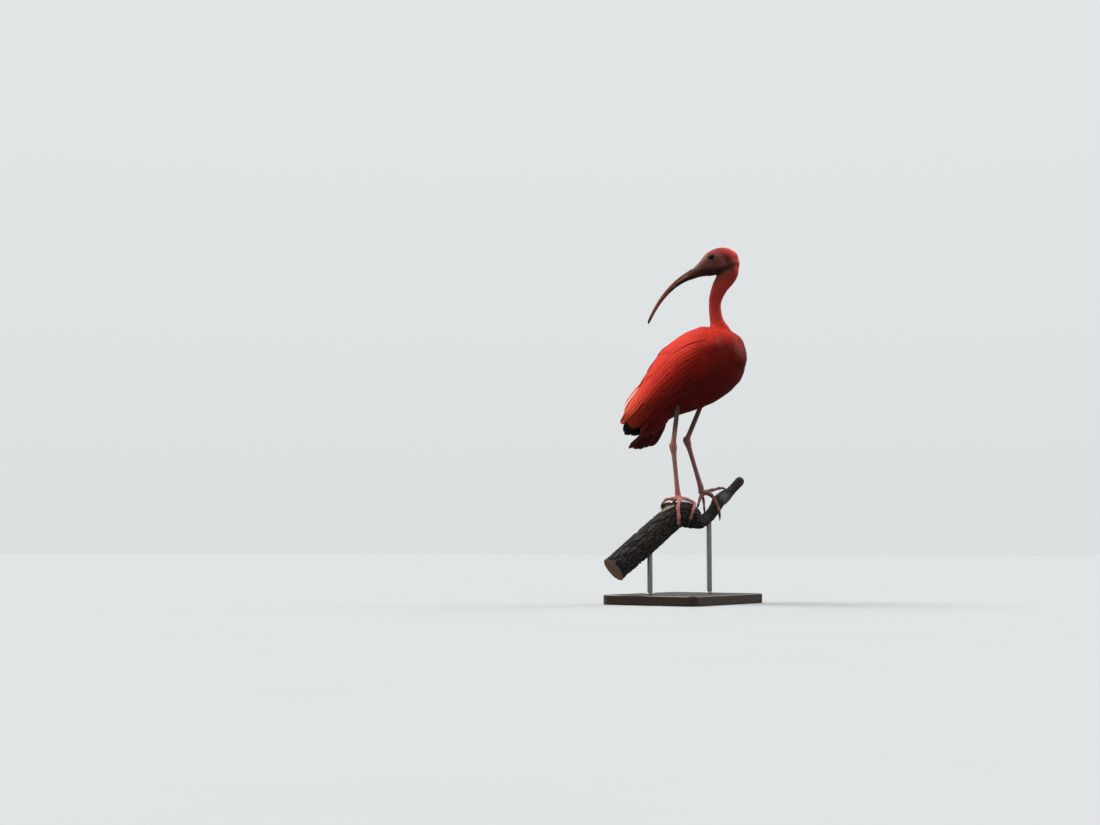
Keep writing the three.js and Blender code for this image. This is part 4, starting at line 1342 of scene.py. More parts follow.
def wingFeathers(side, name):
    # Tier by tier, then the primaries and one loose feather.
    sheet = wings[side]
    shafts = Shafts()
    random = np.random.default_rng(vaneSize["seed"])
    share = vaneShares
    for count, roots, tips, spans, lift, overlap in wingTiers.values():
        step = (spans[1] - spans[0]) / (count - 1)
        for i in range(count):
            spot = i / (count - 1)
            start, end, v = (low + (high - low) * spot for low, high in (roots, tips, spans))
            middle = (start + end) / 2
            near = sheet([middle, middle], [max(0, v - step / 2), min(1, v + step / 2)])[0]
            width = max(overlap * np.linalg.norm(near[1] - near[0]), 5.0)
            reach = (end - start) * (1 + random.uniform(-0.05, 0.02))
            shift = random.uniform(-0.12, 0.12) * step
            places, _, out = sheet(start + reach * share, np.full(len(share), v) + shift * share)
            ahead = unit(np.gradient(places, axis=0))
            across = unit(np.cross(ahead, out) * side)
            tilt = math.tan(math.radians(vaneSize["tilt"]))
            climb = np.minimum(1, share * vaneSize["rise"])
            height = -vaneSize["sink"] + (lift + vaneSize["sink"] + random.uniform(-0.12, 0.12)) * climb
            facing = unit(out - across * tilt)
            half = vaneHalf(width, reach * wingLength)
            shafts.add(places + out * height[:, None], facing, half, random.uniform(0.35, 0.75))
    for at, tip in primaries:
        root, _, out = sheet([at[0]], [at[1]])
        start, tip = root[0] - out[0] * 1.5, np.array(tip, float) * [1, side, 1]
        belly = (start + tip) / 2 + np.array([0, side * 2.0, 1.5])
        places = smoothLine([start, belly, tip])(share)
        facing = np.tile(unit([0.12, side, -0.22]), (len(share), 1))
        half = vaneHalf(vaneSize["primary"], vaneSize["primaryLength"])
        shafts.add(places, facing, half, random.uniform(0.2, 0.5), vaneSize["black"])
    root = sheet([looseFeather["root"][0]], [looseFeather["root"][1]])[0][0]
    tip = np.array(looseFeather["tip"], float) * [1, side, 1]
    places = smoothLine([root, (root + tip) / 2 + [-1, 0, 2], tip])(share)
    half = vaneHalf(looseFeather["width"], looseFeather["length"])
    shafts.add(places, np.tile(unit([-0.5, side, 0.4]), (len(share), 1)), half, 0.9)
    return shafts.make(name, vanePaint)


mantle = {
    "count": 8, "first": 0.0, "last": 0.46, "reach": 0.26, "width": 24, "lift": 3.2, "aside": 2.0,
    "rise": 1.6, "sink": 1.5, "lower": 4.2, "lowerFrom": 0.12, "seed": 31,
}


def mantleFeathers():
    # Over the back, from the neck to the wing tips, covering the gap between the wings.
    random = np.random.default_rng(mantle["seed"])
    shafts = Shafts()
    spine = smoothLine(np.array(wingLines["top"], float) * [1, 0, 1])
    for k in range(mantle["count"]):
        start = mantle["first"] + (mantle["last"] - mantle["first"]) * k / (mantle["count"] - 1)
        places = spine(start + mantle["reach"] * vaneShares)
        ahead = unit(np.gradient(places, axis=0))
        out = unit(np.cross(ahead, [0, -1, 0]))
        out = out * np.sign(out[:, 2:])
        climb = np.minimum(1, vaneShares * mantle["rise"])
        lift = mantle["lift"] - mantle["lower"] * max(0, start - mantle["lowerFrom"])
        height = -mantle["sink"] + (lift + mantle["sink"] + random.uniform(-0.1, 0.1)) * climb
        places = places + out * height[:, None] + [0, (-1) ** k * mantle["aside"], 0]
        half = vaneHalf(mantle["width"], mantle["reach"] * wingLength, start=0.5)
        shafts.add(places, out, half, random.uniform(0.35, 0.75))
    return shafts.make("mantle_feathers", vanePaint)


vanes = vaneTree()
profile = vaneProfile()
finished(wingFeathers(1, "wing_left_feathers"), "wing_feathers", "wing_left")
finished(wingFeathers(-1, "wing_right_feathers"), "wing_feathers", "wing_right")
finished(mantleFeathers(), "wing_feathers")

tailFan = {
    "root": (-68, 0, 156), "tip": (-130, 0, 102), "count": 12, "spread": 13, "rootWidth": 38, "width": 19,
    "length": 110, "crown": 2.4, "droop": 10.5, "tilt": 0.24, "shorter": 0.20, "wider": 10, "seed": 5,
}


def tailFeathers():
    # A fan of vanes that lie lower towards its sides. Light comes through the last one's rim.
    shafts = Shafts()
    random = np.random.default_rng(tailFan["seed"])
    root, tip = np.array(tailFan["root"], float), np.array(tailFan["tip"], float)
    line = tip - root
    up = unit(np.cross([0, 1, 0], line))
    up = up if up[2] > 0 else -up
    count = tailFan["count"]
    share = vaneShares
    for i in range(count):
        spot = 2 * i / (count - 1) - 1
        layer = tailFan["crown"] - abs(spot) ** 1.4 * tailFan["droop"] - (0.5 if i % 2 else 0)
        outer = max(0, abs(spot) - 0.55) / 0.45
        angle = spot * tailFan["spread"] / 2 + np.sign(spot) * outer * tailFan["wider"]
        turn = Matrix.Rotation(math.radians(-angle), 3, Vector(up))
        way = np.array(turn @ Vector(line)) * (1 - tailFan["shorter"] * outer) * random.uniform(0.985, 1.0)
        start = root + np.array([0, 1, 0]) * spot * tailFan["rootWidth"] * 0.5
        places = start + way * share[:, None] + up * (layer * np.minimum(1, 0.3 + share))[:, None]
        facing = np.tile(up + np.array([0, 1, 0]) * spot * tailFan["tilt"], (len(share), 1))
        half = vaneHalf(tailFan["width"], tailFan["length"], start=0.5)
        glow = 1.0 if i == count - 1 else 0.0
        shafts.add(places, unit(facing), half, random.uniform(0.15, 0.6), glow=glow)
    return shafts.make("tail_vanes", tailPaint)


finished(tailFeathers(), "tail_feathers", "tail")
bpy.data.objects.remove(profile)

# Bill.
bill = {
    "root": 47.3, "length": 125, "tuck": 7, "droopFrom": 60, "droopRate": 0.004, "closed": 0.06,
    "grooveDepth": 0.55, "grooveAngle": 0.62, "nostril": (56, 5.4, 6.0, 1.3),
}
billRows = [
    # share of the length, half width, depth above and below the mouth line
    [0, 8.6, 10.4, 9.6], [0.07, 7.4, 9.6, 8.8], [0.16, 6.2, 8.2, 7.4], [0.28, 5.2, 6.9, 6.1],
    [0.48, 4.3, 5.2, 4.6], [0.68, 3.6, 4.1, 3.5], [0.84, 3.1, 3.5, 2.8], [0.94, 2.7, 3.0, 2.3],
    [0.985, 1.9, 2.1, 1.6], [1, 0.9, 1.0, 0.8],
]


def mandible(name, upper):
    # One half of the bill: arches over the mouth line, grooved, bent down towards the tip.
    steps, arch, flat = 150, 34, 7
    rows = smoothLine(billRows)(np.linspace(0, 1, steps + 1))
    tuckRows = np.repeat(rows[:1], 4, axis=0) * [0, 0.9, 0.9, 0.9]
    tuckRows[:, 0] = -np.linspace(1, 0.15, 4) * bill["tuck"] / bill["length"]
    rows = np.vstack([tuckRows, rows])
    angles = np.linspace(0, math.pi, arch)
    places, run, level = [], [], []
    sign = 1 if upper else -1
    for share, halfWidth, above, below in rows:
        x = bill["root"] + share * bill["length"]
        past = max(0, x - bill["droopFrom"])
        z = -1 - bill["droopRate"] * past * past
        up = np.array([2 * bill["droopRate"] * past, 0, 1])
        up /= np.linalg.norm(up)
        height = above if upper else below
        fade = np.clip((share - 0.02) / 0.06, 0, 1) * np.clip((0.93 - share) / 0.2, 0, 1)
        seat = bill["grooveAngle"] if upper else 0.5
        groove = sum(np.exp(-((angles - c) / 0.12) ** 2) for c in (seat, math.pi - seat))
        shrink = 1 - (bill["grooveDepth"] if upper else 0.3) / max(halfWidth, 2) * groove * fade
        wrinkle = 1 + 0.008 * math.sin(x * 2.2) * np.clip((0.14 - share) / 0.14, 0, 1) * (share > 0)
        if upper:
            spotX, spotZ, longHalf, highHalf = bill["nostril"]
            rise0 = np.sin(angles) ** 0.9 * height
            dent = np.exp(-(((x - spotX) / (longHalf * 0.62)) ** 2) - ((rise0 - spotZ - 1) / highHalf) ** 2)
            shrink = shrink - 0.24 * dent * (np.abs(np.cos(angles)) > 0.3)
        ys = np.cos(angles) * halfWidth * shrink * wrinkle
        rises = np.sin(angles) ** 0.9 * (height + bill["closed"]) * (1 - (1 - shrink) * 0.3) * wrinkle
        rises = sign * (rises - bill["closed"])
        bottom = np.linspace(-halfWidth, halfWidth, flat + 2)[1:-1]
        ys = np.concatenate([ys, bottom])
        rises = np.concatenate([rises, np.full(flat, -sign * bill["closed"])])
        levels = np.concatenate([np.sin(angles) ** 0.9, np.zeros(flat)])
        for y, rise, high in zip(ys, rises, levels):
            places.append(np.array([x, y, z]) + up * rise)
            run.append(max(share, 0))
            level.append(high * sign)
    made = facedOut(meshObject(name, fromHead(places), ringFaces(len(rows), arch + flat)))
    attribute(made, "run", run)
    attribute(made, "level", level)
    return made


hornColours = {
    "ridge": (0.205, 0.084, 0.036, 1), "side": (0.145, 0.053, 0.026, 1), "streak": (0.62, 0.40, 0.27, 1),
    "middle": (0.26, 0.088, 0.062, 1), "low": (0.026, 0.013, 0.009, 1), "tip": (0.022, 0.019, 0.019, 1),
}
hornPaint, shader = material("bill horn", {"Roughness": 0.5, "Specular IOR Level": 0.14})
run, level = stored("run"), stored("level")
streaks = noiseValue(merged(times(run, 5.0), times(level, 9.0)), 1.6, 2.0, 0.5)
cloud = noiseValue(objectPlace(), 110.0, 3.0, 0.6)
onEdge = times(band(level, 0.0, 0.05), band(level, 0.30, 0.18))
onRun = times(band(run, 0.10, 0.17), band(run, 0.40, 0.30))
colour = mix(band(level, 0.45, 0.85), hornColours["side"], hornColours["ridge"])
colour = layered(
    colour, hornColours,
    [
        (band(run, 0.30, 0.60), "middle"),
        (times(band(run, 0.20, 0.02), band(cloud, 0.40, 0.62, 0.0, 0.6)), "low"),
        # Painted shade: the lower mandible darkens downward, most near its base.
        (times(band(level, -0.05, -0.55), band(run, 0.80, 0.30, 0.25, 1.0)), "low"),
        (times(onEdge, onRun), "streak"), (band(absolute(level), 0.05, 0.0, 0.0, 0.8), "low"),
        (band(run, 0.88, 0.98), "tip"), (band(streaks, 0.50, 0.75, 0.0, 0.28), "low"),
        (band(cloud, 0.50, 0.75, 0.0, 0.16), "streak"),
    ],
)
coloured(shader, colour, band(streaks, 0.2, 0.8, 0.44, 0.60), streaks, 0.12, 0.0003)

for name, upper in (("bill_upper_horn", True), ("bill_lower_horn", False)):
    horn = mandible(name, upper)
    horn.data.materials.append(hornPaint)
    finished(horn, "bill", "bill_upper" if upper else "bill_lower")


# Eyes.
eyeColours = {
    "dark": (0.012, 0.005, 0.003, 1), "fleck": (0.030, 0.012, 0.007, 1), "pupil": (0.002, 0.002, 0.002, 1),
    "rim": (0.010, 0.005, 0.004, 1),
}
eyePaint, shader = material(
    "eye", {"Roughness": 0.25, "Coat Weight": 0.12, "Coat Roughness": 0.02, "Specular IOR Level": 0.1}
)
aim = stored("aim")
colour = mix(noiseValue(objectPlace(), 1500.0, 3.0, 0.6), eyeColours["dark"], eyeColours["fleck"])
colour = layered(colour, eyeColours, [(band(aim, 26, 24), "pupil"), (band(aim, 43, 49), "rim")])
join(colour, shader.inputs["Base Color"])

for side, label in ((1, "left"), (-1, "right")):
    out = unit(np.array([face["gaze"][0], side, face["gaze"][1]]))
    first = unit(np.cross(out, [0, 0, 1]))
    second = np.cross(out, first)
    places, aims = [], []
    rings, around = 30, 44
    for k in range(rings + 1):
        angle = math.pi * k / rings
        bulge = 1 + 0.05 * math.exp(-((angle / 0.5) ** 2))
        for j in range(around):
            turn = 2 * math.pi * j / around
            aside = first * math.cos(turn) + second * math.sin(turn)
            way = out * math.cos(angle) + aside * max(math.sin(angle), 1e-3)
            places.append(np.array(face["eye"]) * [1, side, 1] + way * face["eyeRadius"] * bulge)
            aims.append(math.degrees(angle))
    ball = facedOut(meshObject(f"eye_{label}_ball", fromHead(places), ringFaces(rings + 1, around)))
    attribute(ball, "aim", aims)
    ball.data.materials.append(eyePaint)
    finished(ball, "eyes", f"eye_{label}")
log("head done")


# Perch.
limbRows = [
    [-68, -164, -131, 25], [-33, -104, -77, 25.5], [-10, -52, -36, 25], [0, -28, -27, 25],
    [5, -10, -32, 24], [9, 2, -35, 19.5], [11, 8, -37, 11],
]
branchRows = [
    [-2, -26, -34, 15], [4, -10, -38, 15], [12.5, 18, -41, 13.6], [19, 41, -29, 11.8], [23, 57, -13, 12],
    [25, 66, -2, 13.4], [29, 78, 6.5, 13.2], [35, 93, 17, 10.2], [39.5, 104, 27, 9.2], [44, 116, 38, 9.4],
    [46, 121, 42.5, 6.5],
]
bark = {
    "voxel": 1.05, "knot": (37, 68.5, 7), "scarFrom": (-23, -79, -25), "scarTo": (-2, -57, -12),
    "scarHalf": 5.5, "scarReach": 9, "knotReach": 11, "grainLong": 26, "grainWide": 7.5, "cutDeep": 0.7,
    "stub": ((-14.9, -52, -17), (11, 18, 13)),
}


def woodFrame(rows, share):
    # Places, way, up and front along the wood at shares of its rows.
    read = smoothLine(rows)
    share = np.atleast_1d(share)
    values = read(share)
    along = unit(read(np.clip(share + 1e-3, 0, 1))[:, :3] - read(np.clip(share - 1e-3, 0, 1))[:, :3])
    up = unit(np.array([0, 0, 1]) - along * along[:, 2:3])
    front = -np.cross(up, along)
    return values, along, up, front


def onWood(part, row, degrees, lift):
    # A place off the bark: which row of the wood, degrees round it from its top, and how far off.
    rows = {"limb": limbRows, "branch": branchRows}[part]
    values, _, up, front = woodFrame(rows, row / (len(rows) - 1))
    turn = math.radians(degrees)
    return (values[0, :3] + (up[0] * math.cos(turn) + front[0] * math.sin(turn)) * (values[0, 3] + lift))


def woodLoft(rows, steps, around):
    values, _, up, front = woodFrame(rows, np.linspace(0, 1, steps + 1))
    return tubeRound(values[:, :3], up, front, values[:, 3], around)


def barkTree():
    # Furrows and flakes pressed into the wood along its own grain, less so on scar and cut.
    tree, source, sink = nodeGroup(
        "GeometryNodeTree", "bark relief",
        [
            ("Geometry", "Geometry", None), ("Furrow Depth", "Float", 0.0026),
            ("Flake Depth", "Float", 0.0022), ("Material", "Material", None),
        ],
        [("Geometry", "Geometry", None)],
    )
    grain = named("grain", "FLOAT_VECTOR")
    bent = put("ShaderNodeTexNoise", {"Vector": grain, "Scale": 0.9, "Detail": 2.0}).outputs["Color"]
    swayed = vectors("ADD", grain, vectors("SCALE", bent, scale=1.2))
    furrow = band(cellEdges(swayed, 1.0), 0.0, 0.16, 1.0, 0.0)
    flakes = noiseValue(grain, 2.6, 6.0, 0.68)
    total = plus(times(furrow, source["Furrow Depth"]), times(flakes, source["Flake Depth"]))
    total = times(times(total, less(1.0, named("smooth"))), named("stout"))
    offset = vectors("SCALE", node("GeometryNodeInputNormal"), scale=times(total, -1.0))
    kept = storing(source["Geometry"], "furrow", furrow)
    painted(node("GeometryNodeSetPosition", {"Geometry": kept, "Offset": offset}), source, sink)
    return tree


barkColours = {
    "dark": (0.012, 0.009, 0.0075, 1), "brown": (0.048, 0.033, 0.025, 1), "lichen": (0.17, 0.165, 0.135, 1),
    "scar": (0.40, 0.33, 0.22, 1), "scarLow": (0.20, 0.15, 0.10, 1), "pale": (0.33, 0.22, 0.13, 1),
    "ring": (0.17, 0.10, 0.06, 1), "knot": (0.23, 0.22, 0.19, 1),
}
barkPaint, shader = material("dark bark", {"Roughness": 0.9})
place = objectPlace()
crust = stored("crust")
flake = noiseValue(stored("grain", "Vector"), 3.4, 6.0, 0.65)
patch = noiseValue(place, 38.0, 3.0, 0.55)
speck = noiseValue(place, 420.0, 4.0, 0.65)
lichen = times(maths("MAXIMUM", band(patch, 0.57, 0.70), times(crust, 0.9)), band(speck, 0.42, 0.62))
colour = mix(band(flake, 0.35, 0.70), barkColours["dark"], barkColours["brown"])
colour = layered(
    colour, barkColours,
    [
        (times(lichen, 0.75), "lichen"), (times(stored("furrow"), 0.75), "dark"),
        (times(crust, band(speck, 0.40, 0.56, 0.15, 0.95)), "knot"),
    ],
)
colour = mix(stored("scar"), colour, mix(flake, barkColours["scar"], barkColours["scarLow"]))
wood = mix(times(waves(stored("radial"), 3.6), 0.6), barkColours["pale"], barkColours["ring"])
wood = mix(times(speck, 0.5), wood, barkColours["ring"])
colour = mix(stored("cut"), colour, wood)
relief = plus(times(flake, 1.4), times(speck, 0.7))
coloured(shader, colour, band(lichen, 0.0, 1.0, 0.78, 0.95), relief, 0.8, 0.0014)


def makeBark():
    # Limb, branch and stub in one skin that knows its grain, its cut, its scar and its knot.
    parts = [woodLoft(limbRows, 60, 56), woodLoft(branchRows, 80, 40), blob(*bark["stub"], 4, -24)]
    made = remeshed(joinedMesh(parts, "bark"), bark["voxel"], 1)
    places = placesOf(made)
    best = np.full(len(places), 1e9)
    grain = np.zeros((len(places), 3))
    cut, radial, stout = np.zeros(len(places)), np.zeros(len(places)), np.zeros(len(places))
    for rows, offset in ((limbRows, 0.0), (branchRows, 40.0)):
        share = np.linspace(0, 1, 160)
        values, along, up, front = woodFrame(rows, share)
        for block, k, away, distance, ahead, run in alongLine(places, values[:, :3], along):
            reach = distance / values[k, 3]
            nearer = reach < best[block]
            turn = np.arctan2(np.einsum("ij,ij->i", away, front[k]), np.einsum("ij,ij->i", away, up[k]))
            length = run[k] + ahead
            radius = np.minimum(values[k, 3], 22)
            wide = bark["grainWide"]
            value = [
                length / bark["grainLong"] + offset, np.cos(turn) * radius / wide,
                np.sin(turn) * radius / wide,
            ]
            across = np.linalg.norm(away - along[k] * ahead[:, None], axis=1)
            grain[block] = np.where(nearer[:, None], np.stack(value, 1), grain[block])
            radial[block] = np.where(nearer, across, radial[block])
            end = (length < bark["cutDeep"]) & (offset == 0)
            cut[block] = np.where(nearer, end.astype(float), cut[block])
            left = np.clip((run[-1] - length) / 8, 0, 1) if offset else 1.0
            sturdy = np.clip(values[k, 3] / 24, 0.3, 1) * left
            stout[block] = np.where(nearer, sturdy, stout[block])
            best[block] = np.where(nearer, reach, best[block])
    a, b = np.array(bark["scarFrom"], float), np.array(bark["scarTo"], float)
    t = np.clip((places - a) @ (b - a) / ((b - a) @ (b - a)), 0, 1)
    away = np.linalg.norm(places - (a + t[:, None] * (b - a)), axis=1)
    wave = 1.6 * roughField(places, 5, 4)
    scar = np.clip((bark["scarHalf"] * (0.55 + 0.45 * np.sin(np.pi * t)) + wave - away) / 1.2, 0, 1)
    scar *= away < bark["scarReach"]
    crust = np.clip(1.5 - np.linalg.norm(places - bark["knot"], axis=1) / bark["knotReach"], 0, 1)
    values = {
        "grain": grain, "radial": radial, "cut": cut, "stout": stout, "crust": crust, "scar": scar,
        "smooth": np.maximum(cut, scar * 0.7),
    }
    for key, value in values.items():
        attribute(made, key, value)
    return growOn(made, barkTree(), {"Material": barkPaint}, "bark")


finished(makeBark(), "bark", "perch")


# Legs, feet and claws.
legs = {
    "right": {
        "exit": (-8.8, -28.4, 178), "ankle": (-19.9, -28, 103), "foot": (-10.5, -28, 12),
        "hub": (-9, -28, 5), "shaded": 0.0,
    },
    "left": {
        "exit": (7.2, 30, 179), "ankle": (-23.5, 30, 117), "foot": (6, 30, 27), "hub": (8, 30, 16),
        "shaded": 0.85,
    },
}
toes = {
    "right": {
        "inner": ([("limb", 3.1, 15), ("limb", 3.3, 42), ("limb", 3.1, 75), ("limb", 2.75, 112)], 3.1),
        "middle": ([("limb", 2.6, 18), ("limb", 2.2, 50), ("limb", 1.95, 82), ("limb", 1.8, 104)], 3.4),
        "outer": ([("at", -14, -43, 1.5), ("at", -19, -57, -0.5), ("at", -21, -67, -9)], 3.1),
        "hind": ([("limb", 2.75, -38), ("limb", 2.8, -75)], 2.9),
    },
    "left": {
        "inner": ([("at", 10.5, 19, 2), ("at", 11, 10.5, -11)], 2.9),
        "middle": (
            [("at", 24, 37.5, 11), ("branch", 3.95, 44), ("branch", 3.55, 88), ("branch", 3.45, 112)], 3.3
        ),
        "outer": ([("at", 19, 52, 20), ("at", 26, 68, 24), ("branch", 6.45, 2)], 3.0),
        "hind": ([("at", 10, 34, 0), ("branch", 2.9, -12)], 2.7),
    },
}
legShape = {
    # shin and tarsus: share of the way down and radius there
    "shin": ((0.0, 4.1), (0.5, 4.6), (0.86, 4.8), (0.95, 6.2)),
    "tarsus": ((0.085, 6.7), (0.2, 4.9), (0.55, 4.2), (0.88, 4.7), (1.0, 5.5)),
    "thighEnd": 2.2, "ankle": 7.4, "hub": 5.6, "palm": (6.3, 6.3, 5.6),
    "toeLift": 3.6, "voxel": 0.62, "scuteHigh": 0.30, "toeScute": 2.3, "shinScute": 3.3,
}
clawShape = {
    "radius": 2.5, "tip": 0.45, "droop": 0.34, "inside": 1.6, "longer": 1.9, "toe": 3.1, "slim": 1.25
}
clawLengths = {
    "right": {"inner": 13.5, "middle": 7, "outer": 9, "hind": 9},
    "left": {"inner": 10, "middle": 17, "outer": 9.5, "hind": 9},
}
webShape = {"reach": 0.46, "scoop": 0.50, "thick": 2.2, "sag": 1.0}


def toePlaces(name, path):
    # Where a toe bends: at given places, or over the bark.
    places = [np.array(legs[name]["hub"], float)]
    for kind, *values in path:
        places.append(
            np.array(values, float) if kind == "at" else onWood(kind, *values, legShape["toeLift"])
        )
    return np.array(places)


def roundTube(line, radii, around):
    # A tube along a line, its rings carried on without twist.
    line = np.asarray(line, float)
    along = unit(np.gradient(line, axis=0))
    up = np.zeros_like(line)
    ref = np.array([0, 1.0, 0])
    for i, a in enumerate(along):
        ref = ref - a * (ref @ a)
        ref = ref / np.linalg.norm(ref)
        up[i] = ref
    return tubeRound(line, up, np.cross(along, up), radii, around)


def makeLeg(name):
    # Shin, palm, toes and webs in one skin, with scutes raised on the shin's front and the toes' tops.
    leg = {k: np.array(v, float) for k, v in legs[name].items() if k != "shaded"}
    exit, ankle, foot, hub = leg["exit"], leg["ankle"], leg["foot"], leg["hub"]
    inThigh = exit + unit(exit - ankle) * 10
    shinRows = [(*inThigh, legShape["thighEnd"])]
    shinRows += [(*(exit + (ankle - exit) * t), r) for t, r in legShape["shin"]]
    shinRows += [(*ankle, legShape["ankle"])]
    shinRows += [(*(ankle + (foot - ankle) * t), r) for t, r in legShape["tarsus"]]
    shinRows += [(*hub, legShape["hub"])]
    shin = smoothLine(shinRows)(np.linspace(0, 1, 110))
    lines = [("shin", shin[:, :3], shin[:, 3])]
    tubes = [roundTube(shin[:, :3], shin[:, 3], 24)]
    tubes.append(blob(hub, legShape["palm"]))
    claws = []
    for toe, (path, radius) in toes[name].items():
        places = toePlaces(name, path)
        share = np.linspace(0, 1, 60)
        line = smoothLine(places)(share)
        joints = len(path)
        pad = 1 + 0.13 * np.cos(share * joints * 2 * np.pi)
        radii = radius * (1.12 - 0.3 * share) * pad
        lines.append((toe, line, radii))
        tubes.append(roundTube(line, radii, 16))
        claws.append((toe, line, radius))
    for first, second in (("inner", "middle"), ("middle", "outer")):
        tubes.append(
            webBetween(toePlaces(name, toes[name][first][0]), toePlaces(name, toes[name][second][0]))
        )
    made = remeshed(joinedMesh(tubes, "leg"), legShape["voxel"], 3)
    places, normals = placesOf(made), normalsOf(made)
    best = np.full(len(places), 1e9)
    lift, ends = np.zeros(len(places)), np.zeros(len(places))
    for kind, line, radii in lines:
        along = unit(np.gradient(line, axis=0))
        for block, k, away, distance, ahead, run in alongLine(places, line, along):
            near = np.abs(distance - radii[k])
            nearer = near < best[block]
            length = run[k] + ahead
            facing = unit(away)
            if kind == "shin":
                front = np.clip(facing[:, 0] * 1.6 + 0.2, 0, 1)
                stagger = (facing[:, 1] > 0) * 0.5 * legShape["shinScute"]
                wave = np.abs(np.sin(np.pi * (length + stagger) / legShape["shinScute"])) ** 0.45
                seam = np.exp(-(facing[:, 1] / 0.13) ** 2)
                value = front * (wave - 0.75 - 0.5 * seam)
            else:
                top = np.clip(facing[:, 2] * 1.2 + facing[:, 0] * 0.5 + 0.75, 0, 1)
                wave = np.abs(np.sin(np.pi * length / legShape["toeScute"])) ** 0.45
                value = top * (wave - 0.75)
            lift[block] = np.where(nearer, value, lift[block])
            ends[block] = np.where(nearer, 0 if kind == "shin" else k / (len(line) - 1), ends[block])
            best[block] = np.where(nearer, near, best[block])
    lift = lift * legShape["scuteHigh"] + 0.12 * roughField(places, 2.2, 6, 2)
    setPlaces(made, places + normals * lift[:, None])
    attribute(made, "reach", ends)
    attribute(made, "shaded", np.full(len(places), legs[name]["shaded"]))
    made.name = f"leg_{name}_skin"
    shadeSmooth(made)
    return made, claws


def webBetween(first, second):
    # A short web from the palm out along two toes, its free edge scooped in.
    across, along = 14, 16
    u, t = np.meshgrid(np.linspace(0, 1, across), np.linspace(0, 1, along), indexing="ij")
    reach = webShape["reach"] * (1 - webShape["scoop"] * np.sin(np.pi * u)) * t
    a, b = smoothLine(first)(reach.ravel()), smoothLine(second)(reach.ravel())
    middle = a + (b - a) * u.ravel()[:, None]
    middle[:, 2] -= webShape["sag"] * np.sin(np.pi * u.ravel()) * t.ravel()
    grid = middle.reshape(across, along, 3)
    normal = np.cross(np.gradient(grid, axis=0), np.gradient(grid, axis=1))
    normal = unit(normal + 1e-6).reshape(-1, 3) * webShape["thick"] / 2
    count = across * along
    faces = []
    for i in range(across - 1):
        for k in range(i * along, (i + 1) * along - 1):
            quad = (k, k + 1, k + along + 1, k + along)
            faces += [quad, tuple(q + count for q in quad[::-1])]
    rim = list(range(along - 1)) + list(range(along - 1, count - 1, along))
    rim += list(range(count - 1, count - along, -1)) + list(range(count - along, 0, -along))
    for at, after in zip(rim, rim[1:] + rim[:1]):
        faces.append((after, at, at + count, after + count))
    return facedOut(meshObject("web", np.vstack([middle + normal, middle - normal]), faces))


def makeClaw(line, toeRadius, length):
    end, along = line[-1], unit(line[-1] - line[-2])
    # A claw goes on curling the way its toe does, and a little downward.
    curl = unit(along - unit(line[-20] - line[-21])) + [0, 0, -0.5]
    curl = unit(curl - along * (curl @ along))
    share = np.linspace(0, 1, 22)
    reach = -clawShape["inside"] + share * (length + clawShape["longer"])
    bent = clawShape["droop"] * length * np.clip(reach / length, 0, 1) ** 2
    places = end + along * reach[:, None] + curl * bent[:, None]
    thick = clawShape["radius"] * toeRadius / clawShape["toe"]
    radii = thick + (clawShape["tip"] - thick) * share ** clawShape["slim"]
    return roundTube(places, radii, 16)


legColours = {
    "olive": (0.155, 0.105, 0.078, 1), "salmon": (0.60, 0.245, 0.165, 1), "shin": (0.52, 0.235, 0.180, 1),
    "foot": (0.58, 0.185, 0.155, 1), "mauve": (0.21, 0.080, 0.078, 1), "seam": (0.22, 0.085, 0.072, 1),
    "claw": (0.012, 0.009, 0.008, 1), "clawFibre": (0.060, 0.038, 0.030, 1),
}
legPaint, shader = material(
    "scaled leg skin",
    {"Roughness": 0.5, "Subsurface Weight": 0.08, "Subsurface Radius": (0.004, 0.0015, 0.001)},
)
place = objectPlace()
cloud = noiseValue(place, 60.0, 4.0, 0.6)
wavy = plus(parted(place)["Z"], times(less(cloud, 0.5), 0.03))
scales = cellEdges(place, 480.0)
colour = mix(band(wavy, 0.215, 0.240), legColours["foot"], legColours["shin"])
colour = layered(
    colour, legColours,
    [
        (band(wavy, 0.272, 0.290), "salmon"), (band(wavy, 0.318, 0.336), "olive"),
        (times(band(cloud, 0.45, 0.7), 0.35), "mauve"), (times(stored("shaded"), 0.8), "mauve"),
        (band(stored("reach"), 0.80, 1.0, 0.0, 0.7), "seam"),
        (times(band(scales, 0.10, 0.0), 0.45), "seam"),
    ],
)
coloured(shader, colour, band(cloud, 0.3, 0.7, 0.42, 0.6), band(scales, 0.0, 0.16), 0.5, 0.0005)

clawPaint, shader = material("claw horn", {"Roughness": 0.35})
fibre = noiseValue(objectPlace(), 300.0, 4.0, 0.6)
colour = mix(fibre, legColours["claw"], legColours["clawFibre"])
coloured(shader, colour, band(fibre, 0.3, 0.7, 0.28, 0.45), fibre, 0.25, 0.0003)

for name in legs:
    leg, claws = makeLeg(name)
    leg.data.materials.clear()
    leg.data.materials.append(legPaint)
    finished(leg, "leg_skin", f"shank_{name}", f"tarsus_{name}", f"foot_{name}")
    curved = [makeClaw(line, radius, clawLengths[name][toe]) for toe, line, radius in claws]
    horn = joinedMesh(curved, f"claws_{name}_horn")
    shadeSmooth(horn)
    horn.data.materials.append(clawPaint)
    finished(horn, "claws", *[f"claw_{name}_{toe}" for toe, _, _ in claws])


# Display stand.
stand = {
    "length": 200, "width": 270, "thickness": 18, "corner": 16, "edge": 2, "rod": 5, "collar": 9,
    "collarHigh": 3.2,
}
rods = {"stand_rod_right": (limbRows, 1.1), "stand_rod_left": (branchRows, 2.9)}


